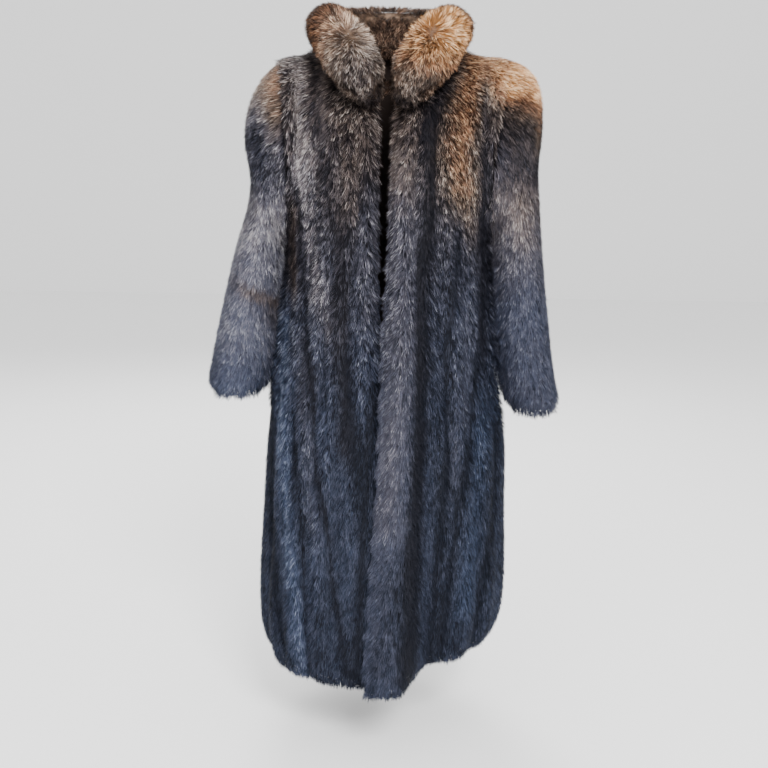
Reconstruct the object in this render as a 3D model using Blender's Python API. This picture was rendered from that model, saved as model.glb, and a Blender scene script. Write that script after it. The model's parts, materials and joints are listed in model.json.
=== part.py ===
"""A full-length fox fur coat in the shape it has on its wearer, with nobody in it.

Metres, +Z up. The fronts face -Y and the wearer's left is +X. The origin lies between the
shoulders at the foot of the neck, where the wearer carries the coat.

Every wall is skin and pile together, so it reaches as far as the fur does. Its inside is plain,
and the pelt strips stand out from its outside as long soft rolls.
"""

import math

import bmesh
import bpy
import numpy as np

# Walls and seams
BODY_WALL = 0.024  # skin and pile of the fronts and the back
SLEEVE_WALL = 0.021
SEAM = 0.0003  # clear space between two pieces sewn together
EDGE_ROUNDING = 0.009  # how far the pile falls in at a free edge

# Grid of each piece
STRIP_COLUMNS = 4  # columns across one pelt strip
SKIRT_ROWS = 14  # rows from the hem to the armpit
YOKE_ROWS = 10  # rows from the armpit to the shoulder, each on one step of the armhole
YOKE_TURN = 3.5  # the row of the yoke where the wall begins to turn over the shoulder
NECK_STRIPS = 2  # strips of a front that end at the neckline
SHOULDER_STRIPS = 3  # strips that end at one shoulder seam

# Body: half-widths to the wearer's right and left, and depths forwards and back, at the foot of the pile rolls
ARMPIT = -0.30
SQUARENESS = 2.3  # 2 is an ellipse, and more is squarer
BODY = (
    # height  right   left    front_right  front_left  back
    (-1.22, 0.248, 0.243, 0.239, 0.194, 0.228),
    (-1.10, 0.252, 0.255, 0.231, 0.200, 0.219),
    (-1.00, 0.250, 0.256, 0.223, 0.204, 0.210),
    (-0.90, 0.243, 0.251, 0.214, 0.203, 0.201),
    (-0.80, 0.238, 0.249, 0.204, 0.199, 0.192),
    (-0.73, 0.234, 0.245, 0.197, 0.195, 0.186),
    (-0.65, 0.226, 0.224, 0.188, 0.188, 0.178),
    (-0.56, 0.211, 0.215, 0.179, 0.179, 0.168),
    (-0.48, 0.203, 0.211, 0.171, 0.171, 0.160),
    (-0.38, 0.196, 0.206, 0.163, 0.163, 0.153),
    (-0.30, 0.192, 0.200, 0.158, 0.158, 0.148),
)
BODY_COLUMNS = ("height", "right", "left", "front_right", "front_left", "back")

# Free front edges: how far each lies to the wearer's left of the middle, and how far the left
# edge strip stands forward of the front it laps over
FRONT_EDGES = (
    # height  right_edge  left_edge  forward
    (-1.22, 0.024, -0.042, 0.080),
    (-1.00, 0.024, -0.031, 0.054),
    (-0.80, 0.024, -0.020, 0.040),
    (-0.60, 0.014, -0.013, 0.036),
    (-0.50, -0.004, -0.010, 0.034),
    (-0.44, -0.0085, -0.006, 0.024),
    (-0.36, -0.010, -0.002, 0.010),
    (-0.26, -0.0115, -0.001, 0.0),
    (-0.10, -0.0125, 0.0025, 0.0),
    (-0.06, -0.012, 0.007, 0.0),
)
EDGE_COLUMNS = ("height", "right_edge", "left_edge", "forward")
LAP_FULL, LAP_END = 0.060, 0.094  # the edge strip is fully forward up to the first, and back by the second
LAP_TROUGH, TROUGH_WIDTH, TROUGH_TOP = 0.012, 0.030, -0.55  # the fold beside that strip

# Hem height by share of the way from the front edge to the side seam
HEM_RIGHT = ((0.0, -1.212), (0.5, -1.212), (1.0, -1.205))
HEM_LEFT = ((0.0, -1.212), (0.27, -1.212), (0.33, -1.192), (0.7, -1.182), (1.0, -1.160))
HEM_BACK = ((0.0, -1.160), (0.3, -1.188), (0.7, -1.200), (1.0, -1.205))

# Pelt strips: where each ends, as a share of the panel's width, at three heights, and its roll
STRIPS_LEFT = (
    # hem   thigh  armpit  roll
    (0.305, 0.253, 0.17, 0.013),
    (0.46, 0.40, 0.33, 0.010),
    (0.62, 0.545, 0.52, 0.011),
    (0.80, 0.73, 0.75, 0.009),
    (1.00, 1.00, 1.00, 0.011),
)
STRIPS_RIGHT = (
    (0.30, 0.293, 0.14, 0.007),
    (0.43, 0.415, 0.28, 0.009),
    (0.58, 0.57, 0.47, 0.012),
    (0.76, 0.74, 0.70, 0.010),
    (1.00, 1.00, 1.00, 0.011),
)
STRIPS_BACK = (
    (0.115, 0.12, 0.13, 0.011),
    (0.24, 0.24, 0.25, 0.010),
    (0.375, 0.37, 0.37, 0.012),
    (0.505, 0.50, 0.50, 0.010),
    (0.63, 0.635, 0.63, 0.012),
    (0.765, 0.76, 0.75, 0.009),
    (0.885, 0.88, 0.87, 0.011),
    (1.00, 1.00, 1.00, 0.010),
)
STRIP_HEIGHTS = (-1.22, -0.65, ARMPIT)

# Large soft folds: a trough's share of the panel's width, its half-width in the same share, its
# depth at the hem and the height where it has died out
FOLDS_LEFT = ((0.66, 0.10, 0.012, -0.62),)
FOLDS_RIGHT = ((0.44, 0.07, 0.009, -0.75), (0.78, 0.10, 0.014, -0.60))
FOLDS_BACK = ((0.20, 0.08, 0.013, -0.66), (0.49, 0.09, 0.017, -0.52), (0.75, 0.08, 0.012, -0.72))

# Armholes, shoulders and neckline
ARMHOLE_DEPTH = {"front": 0.105, "back": 0.100}  # how far each half reaches from the shoulder line
ARMHOLE_LEAN = 1.5
SHOULDER_TIP = {"right": (0.205, 0.014), "left": (0.228, 0.018)}  # out from the middle, and height
NECK_WIDTH, NECK_SIDE_HEIGHT = 0.085, 0.030
NECK_FRONT_DEPTH, NECK_FRONT_HEIGHT = 0.115, -0.060
NECK_BACK_DEPTH, NECK_BACK_RISE = 0.080, 0.012
CHEST_DEPTH = 0.165  # the curve over the chest that the front neckline follows down
YOKE_FULLNESS = 7.0  # how soon the chest takes over from the armhole's curve
COLLAR_REST, COLLAR_EASE = 0.15, 0.06  # the collar presses the rolls flat up to the first, and then less
UNDERARM_REACH, UNDERARM_PRESS = 0.20, 0.9  # how near the armpit the sleeve presses the side strips flat

# Sleeves: rings that turn about the armpit and then go down the arm. Each reaches from its inner
# point by the body to its outer point; x is out from the middle
SLEEVE_RIGHT = (
    # inner_x inner_z outer_x outer_z forward half_depth
    (0.196, -0.303, 0.226, -0.001, 0.000, 0.106),
    (0.199, -0.306, 0.248, -0.027, 0.000, 0.104),
    (0.201, -0.309, 0.266, -0.060, 0.000, 0.101),
    (0.203, -0.312, 0.278, -0.100, 0.000, 0.098),
    (0.204, -0.317, 0.281, -0.140, 0.001, 0.095),
    (0.205, -0.323, 0.273, -0.185, 0.002, 0.091),
    (0.205, -0.333, 0.268, -0.228, 0.003, 0.088),
    (0.2055, -0.348, 0.279, -0.280, 0.004, 0.087),
    (0.206, -0.367, 0.295, -0.325, 0.006, 0.086),
    (0.2075, -0.391, 0.308, -0.367, 0.009, 0.084),
    (0.210, -0.424, 0.319, -0.411, 0.012, 0.081),
    (0.213, -0.462, 0.329, -0.456, 0.015, 0.079),
    (0.217, -0.502, 0.339, -0.501, 0.018, 0.078),
    (0.222, -0.543, 0.348, -0.545, 0.021, 0.077),
    (0.2275, -0.582, 0.356, -0.586, 0.024, 0.077),
    (0.233, -0.616, 0.361, -0.621, 0.026, 0.077),
    (0.238, -0.642, 0.361, -0.646, 0.027, 0.075),
    (0.2415, -0.660, 0.358, -0.663, 0.028, 0.073),
)
SLEEVE_LEFT = (
    (0.204, -0.303, 0.256, 0.012, 0.000, 0.106),
    (0.207, -0.306, 0.278, -0.005, 0.000, 0.104),
    (0.209, -0.309, 0.293, -0.031, 0.000, 0.102),
    (0.211, -0.312, 0.301, -0.066, 0.000, 0.100),
    (0.212, -0.317, 0.303, -0.110, 0.001, 0.097),
    (0.2125, -0.323, 0.299, -0.155, 0.002, 0.094),
    (0.213, -0.332, 0.298, -0.200, 0.003, 0.091),
    (0.2135, -0.345, 0.304, -0.246, 0.004, 0.088),
    (0.214, -0.362, 0.309, -0.291, 0.005, 0.086),
    (0.215, -0.385, 0.315, -0.337, 0.007, 0.084),
    (0.217, -0.416, 0.321, -0.386, 0.009, 0.082),
    (0.2195, -0.453, 0.327, -0.435, 0.011, 0.080),
    (0.223, -0.494, 0.334, -0.484, 0.013, 0.079),
    (0.228, -0.537, 0.340, -0.532, 0.015, 0.078),
    (0.234, -0.581, 0.347, -0.578, 0.017, 0.077),
    (0.241, -0.624, 0.355, -0.622, 0.019, 0.077),
    (0.248, -0.666, 0.364, -0.667, 0.021, 0.076),
    (0.2525, -0.689, 0.364, -0.691, 0.022, 0.073),
)

# Collar: its roll round the neckline, from 0 at the middle of the back to 1 at the front ends
COLLAR = (
    # along  out    up     half_width  half_height  hang   start
    (0.00, 0.010, 0.043, 0.034, 0.040, 0.040, -50),
    (0.17, 0.017, 0.042, 0.040, 0.039, 0.039, -45),
    (0.33, 0.028, 0.043, 0.047, 0.036, 0.036, -40),
    (0.44, 0.033, 0.040, 0.048, 0.042, 0.042, -50),
    (0.55, 0.036, 0.037, 0.049, 0.054, 0.054, -70),
    (0.67, 0.040, 0.033, 0.050, 0.065, 0.069, -80),
    (0.78, 0.042, 0.034, 0.049, 0.064, 0.076, -85),
    (0.87, 0.039, 0.033, 0.046, 0.055, 0.073, -85),
    (0.95, 0.035, 0.028, 0.042, 0.045, 0.065, -85),
    (1.00, 0.031, 0.020, 0.036, 0.034, 0.052, -80),
)
COLLAR_COLUMNS = ("along", "out", "up", "half_width", "half_height", "hang", "start")
ROLL_STEPS, ROLL_END = 10, 202  # the roll goes from its start angle, over the top, to this one by the neck
NECK_AXIS = (0.0, -0.01)
END_NOSE, NOSE_SIZE = 0.007, 0.62  # the rounded tip of each front end

SIDES = {"right": -1.0, "left": 1.0}


def columns_of(rows, names):
    """The named columns of a table whose rows are given lowest first."""
    return dict(zip(names, np.array(rows, float).T))


def smooth(places, values, at):
    """A smooth curve through values at rising places, read at one place."""
    at = min(max(at, places[0]), places[-1])
    i = min(int(np.searchsorted(places, at, side="right")) - 1, len(places) - 2)
    slopes = np.gradient(values, places)
    step = places[i + 1] - places[i]
    t = (at - places[i]) / step
    rise = values[i + 1] - values[i]
    bend = t * (1 - t) * ((1 - t) * (slopes[i] * step - rise) - t * (slopes[i + 1] * step - rise))
    return float(values[i] + t * rise + bend)


def ramp(value):
    """0 below 0, 1 above 1, and smooth between."""
    t = min(max(value, 0.0), 1.0)
    return t * t * (3 - 2 * t)


def bump(distance, half_width):
    """1 at no distance and 0 from half_width on."""
    return ramp(1 - abs(distance) / half_width)


body = columns_of(BODY, BODY_COLUMNS)
edges = columns_of(FRONT_EDGES, EDGE_COLUMNS)
collar_roll = columns_of(COLLAR, COLLAR_COLUMNS)


def body_at(name, height):
    return smooth(body["height"], body[name], height)


def edge_at(name, height):
    return smooth(edges["height"], edges[name], height)


def round_body(half_width, depth, angle):
    """A point on the body's section, by the angle from the middle of the front or back."""
    power = 2 / SQUARENESS
    across = math.copysign(abs(math.sin(angle)) ** power, angle)
    return half_width * across, depth * abs(math.cos(angle)) ** power


def at_shares(line, shares):
    """Points at the given shares of a line's length."""
    line = np.array(line)
    steps = np.linalg.norm(np.diff(line, axis=0), axis=1)
    length = np.concatenate([[0.0], np.cumsum(steps)])
    return np.stack([np.interp(np.array(shares) * length[-1], length, axis) for axis in line.T], 1)


def left_strip_forward(x, height):
    """How far the left front stands forward of its section: its lapping strip, and the fold beside it."""
    lap = edge_at("forward", height) * ramp((LAP_END - x) / (LAP_END - LAP_FULL))
    deepening = ramp((TROUGH_TOP - height) / (TROUGH_TOP - BODY[0][0]))
    return lap - LAP_TROUGH * deepening * bump(x - LAP_END - TROUGH_WIDTH / 2, TROUGH_WIDTH)


def front_point(side, height, share):
    """A point of a front below the armpit, by its share of the way from the free edge to the side seam."""
    half_width, depth = body_at(side, height), body_at("front_" + side, height)
    edge = SIDES[side] * edge_at(side + "_edge", height)
    first = math.copysign(math.asin((abs(edge) / half_width) ** (SQUARENESS / 2)), edge)
    angles = np.linspace(first, math.pi / 2, 80)
    x, y = at_shares([round_body(half_width, depth, a) for a in angles], [share])[0]
    if side == "left":
        y += left_strip_forward(x, height)
    return SIDES[side] * x, -y, height


def back_point(height, share):
    """A point of the back below the armpit, by its share of the way from the left to the right side seam."""
    depth = body_at("back", height)
    left, right = body_at("left", height), body_at("right", height)
    angles = np.linspace(0, math.pi / 2, 60)
    to_left = [round_body(left, depth, a) for a in angles[::-1]]
    to_right = [(-x, y) for x, y in (round_body(right, depth, a) for a in angles[1:])]
    x, y = at_shares(to_left + to_right, [share])[0]
    return x, y, height


def strip_shares(strips, height):
    """The share of the panel's width at each column, with the strips at their width for this height."""
    table = np.array(strips, float)
    ends = [0.0] + [smooth(STRIP_HEIGHTS, row[:3], height) for row in table]
    within = np.arange(STRIP_COLUMNS) / STRIP_COLUMNS
    shares = [a + (b - a) * t for a, b in zip(ends, ends[1:]) for t in within]
    return np.array(shares + [1.0])


def armhole(side, half, turn, wall=0.0):
    """A point of an armhole: turn is 0 at the shoulder tip and pi at the armpit; wall moves it inwards."""
    out_top, top = SHOULDER_TIP[side]
    out_foot = body_at(side, ARMPIT)
    middle, reach = (top + ARMPIT) / 2, (top - ARMPIT) / 2
    out = out_foot + (out_top - out_foot) * ((1 + math.cos(turn)) / 2) ** ARMHOLE_LEAN
    forward = {"front": -1, "back": 1}[half] * (ARMHOLE_DEPTH[half] - wall) * math.sin(turn)
    return SIDES[side] * out, forward, middle + (reach - wall) * math.cos(turn)


def shoulder_point(side, share):
    """A point of a shoulder seam, from the neck to the shoulder tip."""
    out, height = SHOULDER_TIP[side]
    x = NECK_WIDTH + (out - NECK_WIDTH) * share
    z = NECK_SIDE_HEIGHT + (height - NECK_SIDE_HEIGHT) * share**1.6
    return SIDES[side] * x, 0.0, z


def neck_front_point(side, share):
    """A point of the neckline, from a front's edge to the shoulder seam."""
    turn = share * math.pi / 2
    edge = SIDES[side] * edge_at(side + "_edge", NECK_FRONT_HEIGHT)
    x = edge + (NECK_WIDTH - edge) * math.sin(turn)
    forward = NECK_FRONT_DEPTH * math.cos(turn)
    fall, whole = (1 - math.sqrt(1 - (y / CHEST_DEPTH) ** 2) for y in (forward, NECK_FRONT_DEPTH))
    z = NECK_SIDE_HEIGHT + (NECK_FRONT_HEIGHT - NECK_SIDE_HEIGHT) * fall / whole
    return SIDES[side] * x, -forward, z


def neck_back_point(share):
    """A point of the back neckline, from the left shoulder seam to the right."""
    turn = share * math.pi
    rise = NECK_BACK_RISE * math.sin(turn)
    return NECK_WIDTH * math.cos(turn), NECK_BACK_DEPTH * math.sin(turn), NECK_SIDE_HEIGHT + rise


def yoke_column(foot, top, half):
    """A column of the yoke, from the armpit's height up over the chest or the shoulder blade to its top point."""
    depth = (abs(foot[1]) ** YOKE_FULLNESS + ARMHOLE_DEPTH[half] ** YOKE_FULLNESS) ** (1 / YOKE_FULLNESS)
    start = math.pi - math.asin(min(abs(foot[1]) / depth, 1.0))
    end = math.asin(min(abs(top[1]) / depth, 1.0))
    points = []
    for turn in np.linspace(start, end, YOKE_ROWS + 1):
        climb = (math.cos(turn) - math.cos(start)) / (math.cos(end) - math.cos(start))
        x = foot[0] + (top[0] - foot[0]) * climb**ARMHOLE_LEAN
        y = math.copysign(depth * math.sin(turn), {"front": -1, "back": 1}[half])
        points.append((x, y, foot[2] + (top[2] - foot[2]) * climb))
    return points


def spread(first, last, steps):
    return [first + (last - first) * i / steps for i in range(steps + 1)]


def front_grid(side):
    """The points of a front without its rolls: rows from the hem up, columns from the free edge to the side."""
    strips = {"right": STRIPS_RIGHT, "left": STRIPS_LEFT}[side]
    hem = np.array({"right": HEM_RIGHT, "left": HEM_LEFT}[side])
    neck_columns, shoulder_columns = NECK_STRIPS * STRIP_COLUMNS, SHOULDER_STRIPS * STRIP_COLUMNS
    tops = [neck_front_point(side, s) for s in spread(0, 1, neck_columns)]
    tops += [shoulder_point(side, s) for s in spread(0, 1, shoulder_columns)[1:]]
    grid = np.zeros((SKIRT_ROWS + YOKE_ROWS + 1, len(tops), 3))
    for column, top in enumerate(tops):
        lowest = np.interp(strip_shares(strips, BODY[0][0])[column], hem[:, 0], hem[:, 1])
        for row, height in enumerate(spread(lowest, ARMPIT, SKIRT_ROWS)):
            share = strip_shares(strips, height)[column]
            grid[row, column] = front_point(side, height, share)
        foot = grid[SKIRT_ROWS, column]
        grid[SKIRT_ROWS:, column] = yoke_column(foot, top, "front")
    return grid


def back_grid():
    """The points of the back without its rolls: rows from the hem up, columns from the left side to the right."""
    hem = np.array(HEM_BACK)
    neck_columns, shoulder_columns = NECK_STRIPS * STRIP_COLUMNS, SHOULDER_STRIPS * STRIP_COLUMNS
    tops = [shoulder_point("left", s) for s in spread(1, 0, shoulder_columns)]
    tops += [neck_back_point(s) for s in spread(0, 1, neck_columns)[1:]]
    tops += [shoulder_point("right", s) for s in spread(0, 1, shoulder_columns)[1:]]
    grid = np.zeros((SKIRT_ROWS + YOKE_ROWS + 1, len(tops), 3))
    for column, top in enumerate(tops):
        lowest = np.interp(strip_shares(STRIPS_BACK, BODY[0][0])[column], hem[:, 0], hem[:, 1])
        for row, height in enumerate(spread(lowest, ARMPIT, SKIRT_ROWS)):
            share = strip_shares(STRIPS_BACK, height)[column]
            grid[row, column] = back_point(height, share)
        grid[SKIRT_ROWS:, column] = yoke_column(grid[SKIRT_ROWS, column], top, "back")
    return grid


def unit(vectors):
    return vectors / np.linalg.norm(vectors, axis=-1, keepdims=True)


def outward(grid):
    """The direction out of the wall at each point of a grid round the body. Towards the shoulder it
    goes by the columns alone, which run over it side by side."""
    up = np.gradient(grid, axis=0)
    normal = unit(np.cross(np.gradient(grid, axis=1), up))
    middle = grid[: SKIRT_ROWS + 1].mean((0, 1)) * (1, 0, 1)
    facing = ((grid - middle) * normal)[: SKIRT_ROWS + 1].sum()
    normal *= 1 if facing > 0 else -1
    ahead = math.copysign(1.0, grid[SKIRT_ROWS, grid.shape[1] // 2, 1])
    over = unit(np.stack([0 * up[..., 0], ahead * up[..., 2], -ahead * up[..., 1]], 2))
    for row in range(YOKE_ROWS + 1):
        share = ramp((row - YOKE_TURN) / YOKE_TURN)
        r = SKIRT_ROWS + row
        normal[r] = unit(normal[r] * (1 - share) + over[r] * share)
    return normal


def pressed(grid):
    """How far the pile is pressed flat at each point: by a sleeve under the arm, or by the collar."""
    flat = np.zeros(grid.shape[:2])
    for side, sign in SIDES.items():
        pit = np.array([sign * body_at(side, ARMPIT), 0.0, ARMPIT])
        distance = np.linalg.norm(grid - pit, axis=2)
        near = np.clip(1.5 * (1 - distance / UNDERARM_REACH), 0, 1)
        flat = np.maximum(flat, UNDERARM_PRESS * near)
    from_neck = np.linalg.norm(grid - (*NECK_AXIS, 0.0), axis=2)
    return np.maximum(flat, np.clip((COLLAR_REST + COLLAR_EASE - from_neck) / COLLAR_EASE, 0, 1))


def roll_heights(grid, strips):
    """How far the pile stands out from each point of a grid: a roll for each strip."""
    rolls = np.array([row[3] for row in strips])
    within = np.sin(np.pi * np.arange(STRIP_COLUMNS) / STRIP_COLUMNS) ** 0.7
    across = np.concatenate([np.outer(rolls, within).ravel(), [0.0]])
    up = np.ones(len(grid))
    up[-3:] = (0.75, 0.4, 0.0)
    return np.outer(up, across) * (1 - pressed(grid))


def fold_in(grid, strips, folds):
    """Sinks the large folds into a grid, away from its two ends."""
    shares = strip_shares(strips, BODY[0][0])
    normal = outward(grid)
    for row in range(SKIRT_ROWS):
        for column in range(1, grid.shape[1] - 1):
            for place, half_width, depth, top in folds:
                lower = ramp((top - grid[row, column, 2]) / (top - BODY[0][0]))
                sunk = depth * lower * bump(shares[column] - place, half_width)
                grid[row, column] -= normal[row, column] * sunk


def add_mesh(name, points, faces, colour):
    """A named piece with its own fur material."""
    mesh = bpy.data.meshes.new(name)
    mesh.from_pydata([tuple(map(float, p)) for p in points], [], faces)
    shape = bmesh.new()
    shape.from_mesh(mesh)
    bmesh.ops.recalc_face_normals(shape, faces=shape.faces)
    shape.to_mesh(mesh)
    shape.free()
    mesh.shade_smooth()
    piece = bpy.data.objects.new(name, mesh)
    coat.objects.link(piece)
    fur = bpy.data.materials.new(name + "_fur")
    fur.use_nodes = True
    shader = fur.node_tree.nodes["Principled BSDF"]
    shader.inputs["Base Color"].default_value = (*colour, 1.0)
    shader.inputs["Roughness"].default_value = 0.85
    shader.inputs["Metallic"].default_value = 0.0
    mesh.materials.append(fur)
    return piece


def band_faces(outer, inner, points):
    """Faces across the wall along an edge. Each pair of steps is split from the higher outer point,
    so that two pieces sewn along the same line have the same faces there."""
    faces = []
    for i in range(len(outer) - 1):
        low, high = i, i + 1
        if points[outer[high]][2] < points[outer[low]][2]:
            low, high = high, low
        faces.append((outer[low], outer[high], inner[low]))
        faces.append((outer[high], inner[high], inner[low]))
    return faces


def add_panel(name, outer, inner, colour):
    """A closed wall between an outer and an inner grid of the same size."""
    rows, columns = outer.shape[:2]
    points = np.concatenate([outer.reshape(-1, 3), inner.reshape(-1, 3)])
    number = np.arange(rows * columns).reshape(rows, columns)
    behind = number + rows * columns
    faces = []
    for sheet, turned in ((number, False), (behind, True)):
        for r in range(rows - 1):
            for c in range(columns - 1):
                face = (sheet[r, c], sheet[r, c + 1], sheet[r + 1, c + 1], sheet[r + 1, c])
                faces.append(face[::-1] if turned else face)
    for line in (np.s_[0, :], np.s_[-1, :], np.s_[:, 0], np.s_[:, -1]):
        faces += band_faces(number[line], behind[line], points)
    return add_mesh(name, points, [tuple(map(int, f)) for f in faces], colour)


def panel_walls(grid, strips, folds, round_edges):
    """The outer and the inner points of a body panel. round_edges lists the free edges beside the hem."""
    fold_in(grid, strips, folds)
    normal = outward(grid)
    outer = grid + normal * roll_heights(grid, strips)[..., None]
    inner = grid - normal * BODY_WALL
    outer[0] -= normal[0] * EDGE_ROUNDING * end_fade(outer.shape[1], round_edges)[:, None]
    for column in round_edges:
        outer[:-1, column] -= normal[:-1, column] * EDGE_ROUNDING
    return outer, inner


def end_fade(count, free_columns):
    """1 along a hem, and 0 where it meets a side seam."""
    fade = np.ones(count)
    for column in {0, count - 1} - {c % count for c in free_columns}:
        fade[column] = 0.0
    return fade


def meet_armhole(outer, inner, column, side, half):
    """Lays the last column of a yoke on the armhole, and leads the inside to it over three columns."""
    step = 1 if column == 0 else -1
    for row in range(YOKE_ROWS + 1):
        turn = math.pi * (1 - row / YOKE_ROWS)
        target = np.array(armhole(side, half, turn, BODY_WALL))
        shift = target - inner[SKIRT_ROWS + row, column]
        for away, weight in enumerate((1.0, 0.6, 0.25)):
            inner[SKIRT_ROWS + row, column + step * away] += shift * weight
        gap = (-SIDES[side] * SEAM / 2, 0, 0)
        outer[SKIRT_ROWS + row, column] = np.array(armhole(side, half, turn)) + gap
        inner[SKIRT_ROWS + row, column] += gap


def part_seam(lines, direction):
    """Moves the points of a seam by half its clear space."""
    for line in lines:
        line += np.array(direction) * SEAM / 2


def make_front(side, colour):
    strips = {"right": STRIPS_RIGHT, "left": STRIPS_LEFT}[side]
    folds = {"right": FOLDS_RIGHT, "left": FOLDS_LEFT}[side]
    grid = front_grid(side)
    outer, inner = panel_walls(grid, strips, folds, round_edges=[0])
    # The side seam and the shoulder seam go straight through the wall, so that the back meets them.
    inner[: SKIRT_ROWS + 1, -1] = grid[: SKIRT_ROWS + 1, -1] - (SIDES[side] * BODY_WALL, 0, 0)
    inner[-1, NECK_STRIPS * STRIP_COLUMNS :] = grid[-1, NECK_STRIPS * STRIP_COLUMNS :] - (0, 0, BODY_WALL)
    meet_armhole(outer, inner, -1, side, "front")
    shoulder = np.s_[-1, NECK_STRIPS * STRIP_COLUMNS :]
    side_seam = np.s_[: SKIRT_ROWS + 1, -1]
    part_seam([outer[shoulder], inner[shoulder], outer[side_seam], inner[side_seam]], (0, -1, 0))
    add_panel("front_" + side, outer, inner, colour)
    return outer, inner


def make_back(colour):
    grid = back_grid()
    outer, inner = panel_walls(grid, STRIPS_BACK, FOLDS_BACK, round_edges=[])
    shoulder_columns = SHOULDER_STRIPS * STRIP_COLUMNS
    for column, side in ((0, "left"), (-1, "right")):
        inner[: SKIRT_ROWS + 1, column] = grid[: SKIRT_ROWS + 1, column] - (SIDES[side] * BODY_WALL, 0, 0)
    for shoulder in (np.s_[-1, : shoulder_columns + 1], np.s_[-1, -shoulder_columns - 1 :]):
        inner[shoulder] = grid[shoulder] - (0, 0, BODY_WALL)
    meet_armhole(outer, inner, 0, "left", "back")
    meet_armhole(outer, inner, -1, "right", "back")
    for shoulder in (np.s_[-1, : shoulder_columns + 1], np.s_[-1, -shoulder_columns - 1 :]):
        part_seam([outer[shoulder], inner[shoulder]], (0, 1, 0))
    for column in (0, -1):
        part_seam([outer[: SKIRT_ROWS + 1, column], inner[: SKIRT_ROWS + 1, column]], (0, 1, 0))
    add_panel("back", outer, inner, colour)
    return outer, inner


def sleeve_ring(side, row, wall):
    """A ring of a sleeve below the armhole, from its outer point round the front."""
    inner_x, inner_z, outer_x, outer_z, forward, half_depth = row
    middle = np.array([(inner_x + outer_x) / 2 * SIDES[side], -forward, (inner_z + outer_z) / 2])
    reach = np.array([(outer_x - inner_x) / 2 * SIDES[side], 0, (outer_z - inner_z) / 2])
    reach *= 1 - wall / np.linalg.norm(reach)
    steps = 2 * YOKE_ROWS
    turns = [2 * math.pi * k / steps for k in range(steps)]
    return [middle + reach * math.cos(t) - (0, (half_depth - wall) * math.sin(t), 0) for t in turns]


def armhole_ring(side, wall):
    """The ring of a sleeve at the armhole, where it meets the body's pieces."""
    front = [armhole(side, "front", math.pi * k / YOKE_ROWS, wall) for k in range(YOKE_ROWS)]
    back = [armhole(side, "back", math.pi * (1 - k / YOKE_ROWS), wall) for k in range(YOKE_ROWS)]
    return [np.array(p) + (SIDES[side] * SEAM / 2, 0, 0) for p in front + back]


def make_sleeve(side, colour):
    rows = {"right": SLEEVE_RIGHT, "left": SLEEVE_LEFT}[side]
    outer = [armhole_ring(side, 0.0)] + [sleeve_ring(side, row, 0.0) for row in rows]
    inner = [armhole_ring(side, BODY_WALL)] + [sleeve_ring(side, row, SLEEVE_WALL) for row in rows]
    outer[-1] = sleeve_ring(side, rows[-1], EDGE_ROUNDING)
    rings, steps = len(outer), len(outer[0])
    points = np.array(outer + inner).reshape(-1, 3)
    number = np.arange(rings * steps).reshape(rings, steps)
    number = np.concatenate([number, number[:, :1]], 1)
    behind = number + rings * steps
    faces = []
    for sheet, turned in ((number, False), (behind, True)):
        for r in range(rings - 1):
            for c in range(steps):
                face = (sheet[r, c], sheet[r, c + 1], sheet[r + 1, c + 1], sheet[r + 1, c])
                faces.append(face[::-1] if turned else face)
    for ring in (0, -1):
        faces += band_faces(number[ring], behind[ring], points)
    return add_mesh("sleeve_" + side, points, [tuple(map(int, f)) for f in faces], colour)


def neckline(fronts, back):
    """The outer and inner points of the neckline, from the right front's edge round the back to the left's."""
    neck_columns, shoulder_columns = NECK_STRIPS * STRIP_COLUMNS, SHOULDER_STRIPS * STRIP_COLUMNS
    lines = []
    for layer in (0, 1):
        right = fronts["right"][layer][-1, : neck_columns + 1]
        left = fronts["left"][layer][-1, neck_columns::-1]
        behind = back[layer][-1, shoulder_columns : shoulder_columns + neck_columns + 1][::-1]
        right_corner, left_corner = (right[-1] + behind[0]) / 2, (left[0] + behind[-1]) / 2
        lines.append([*right[:-1], right_corner, *behind[1:-1], left_corner, *left[1:]])
    return np.array(lines)


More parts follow.
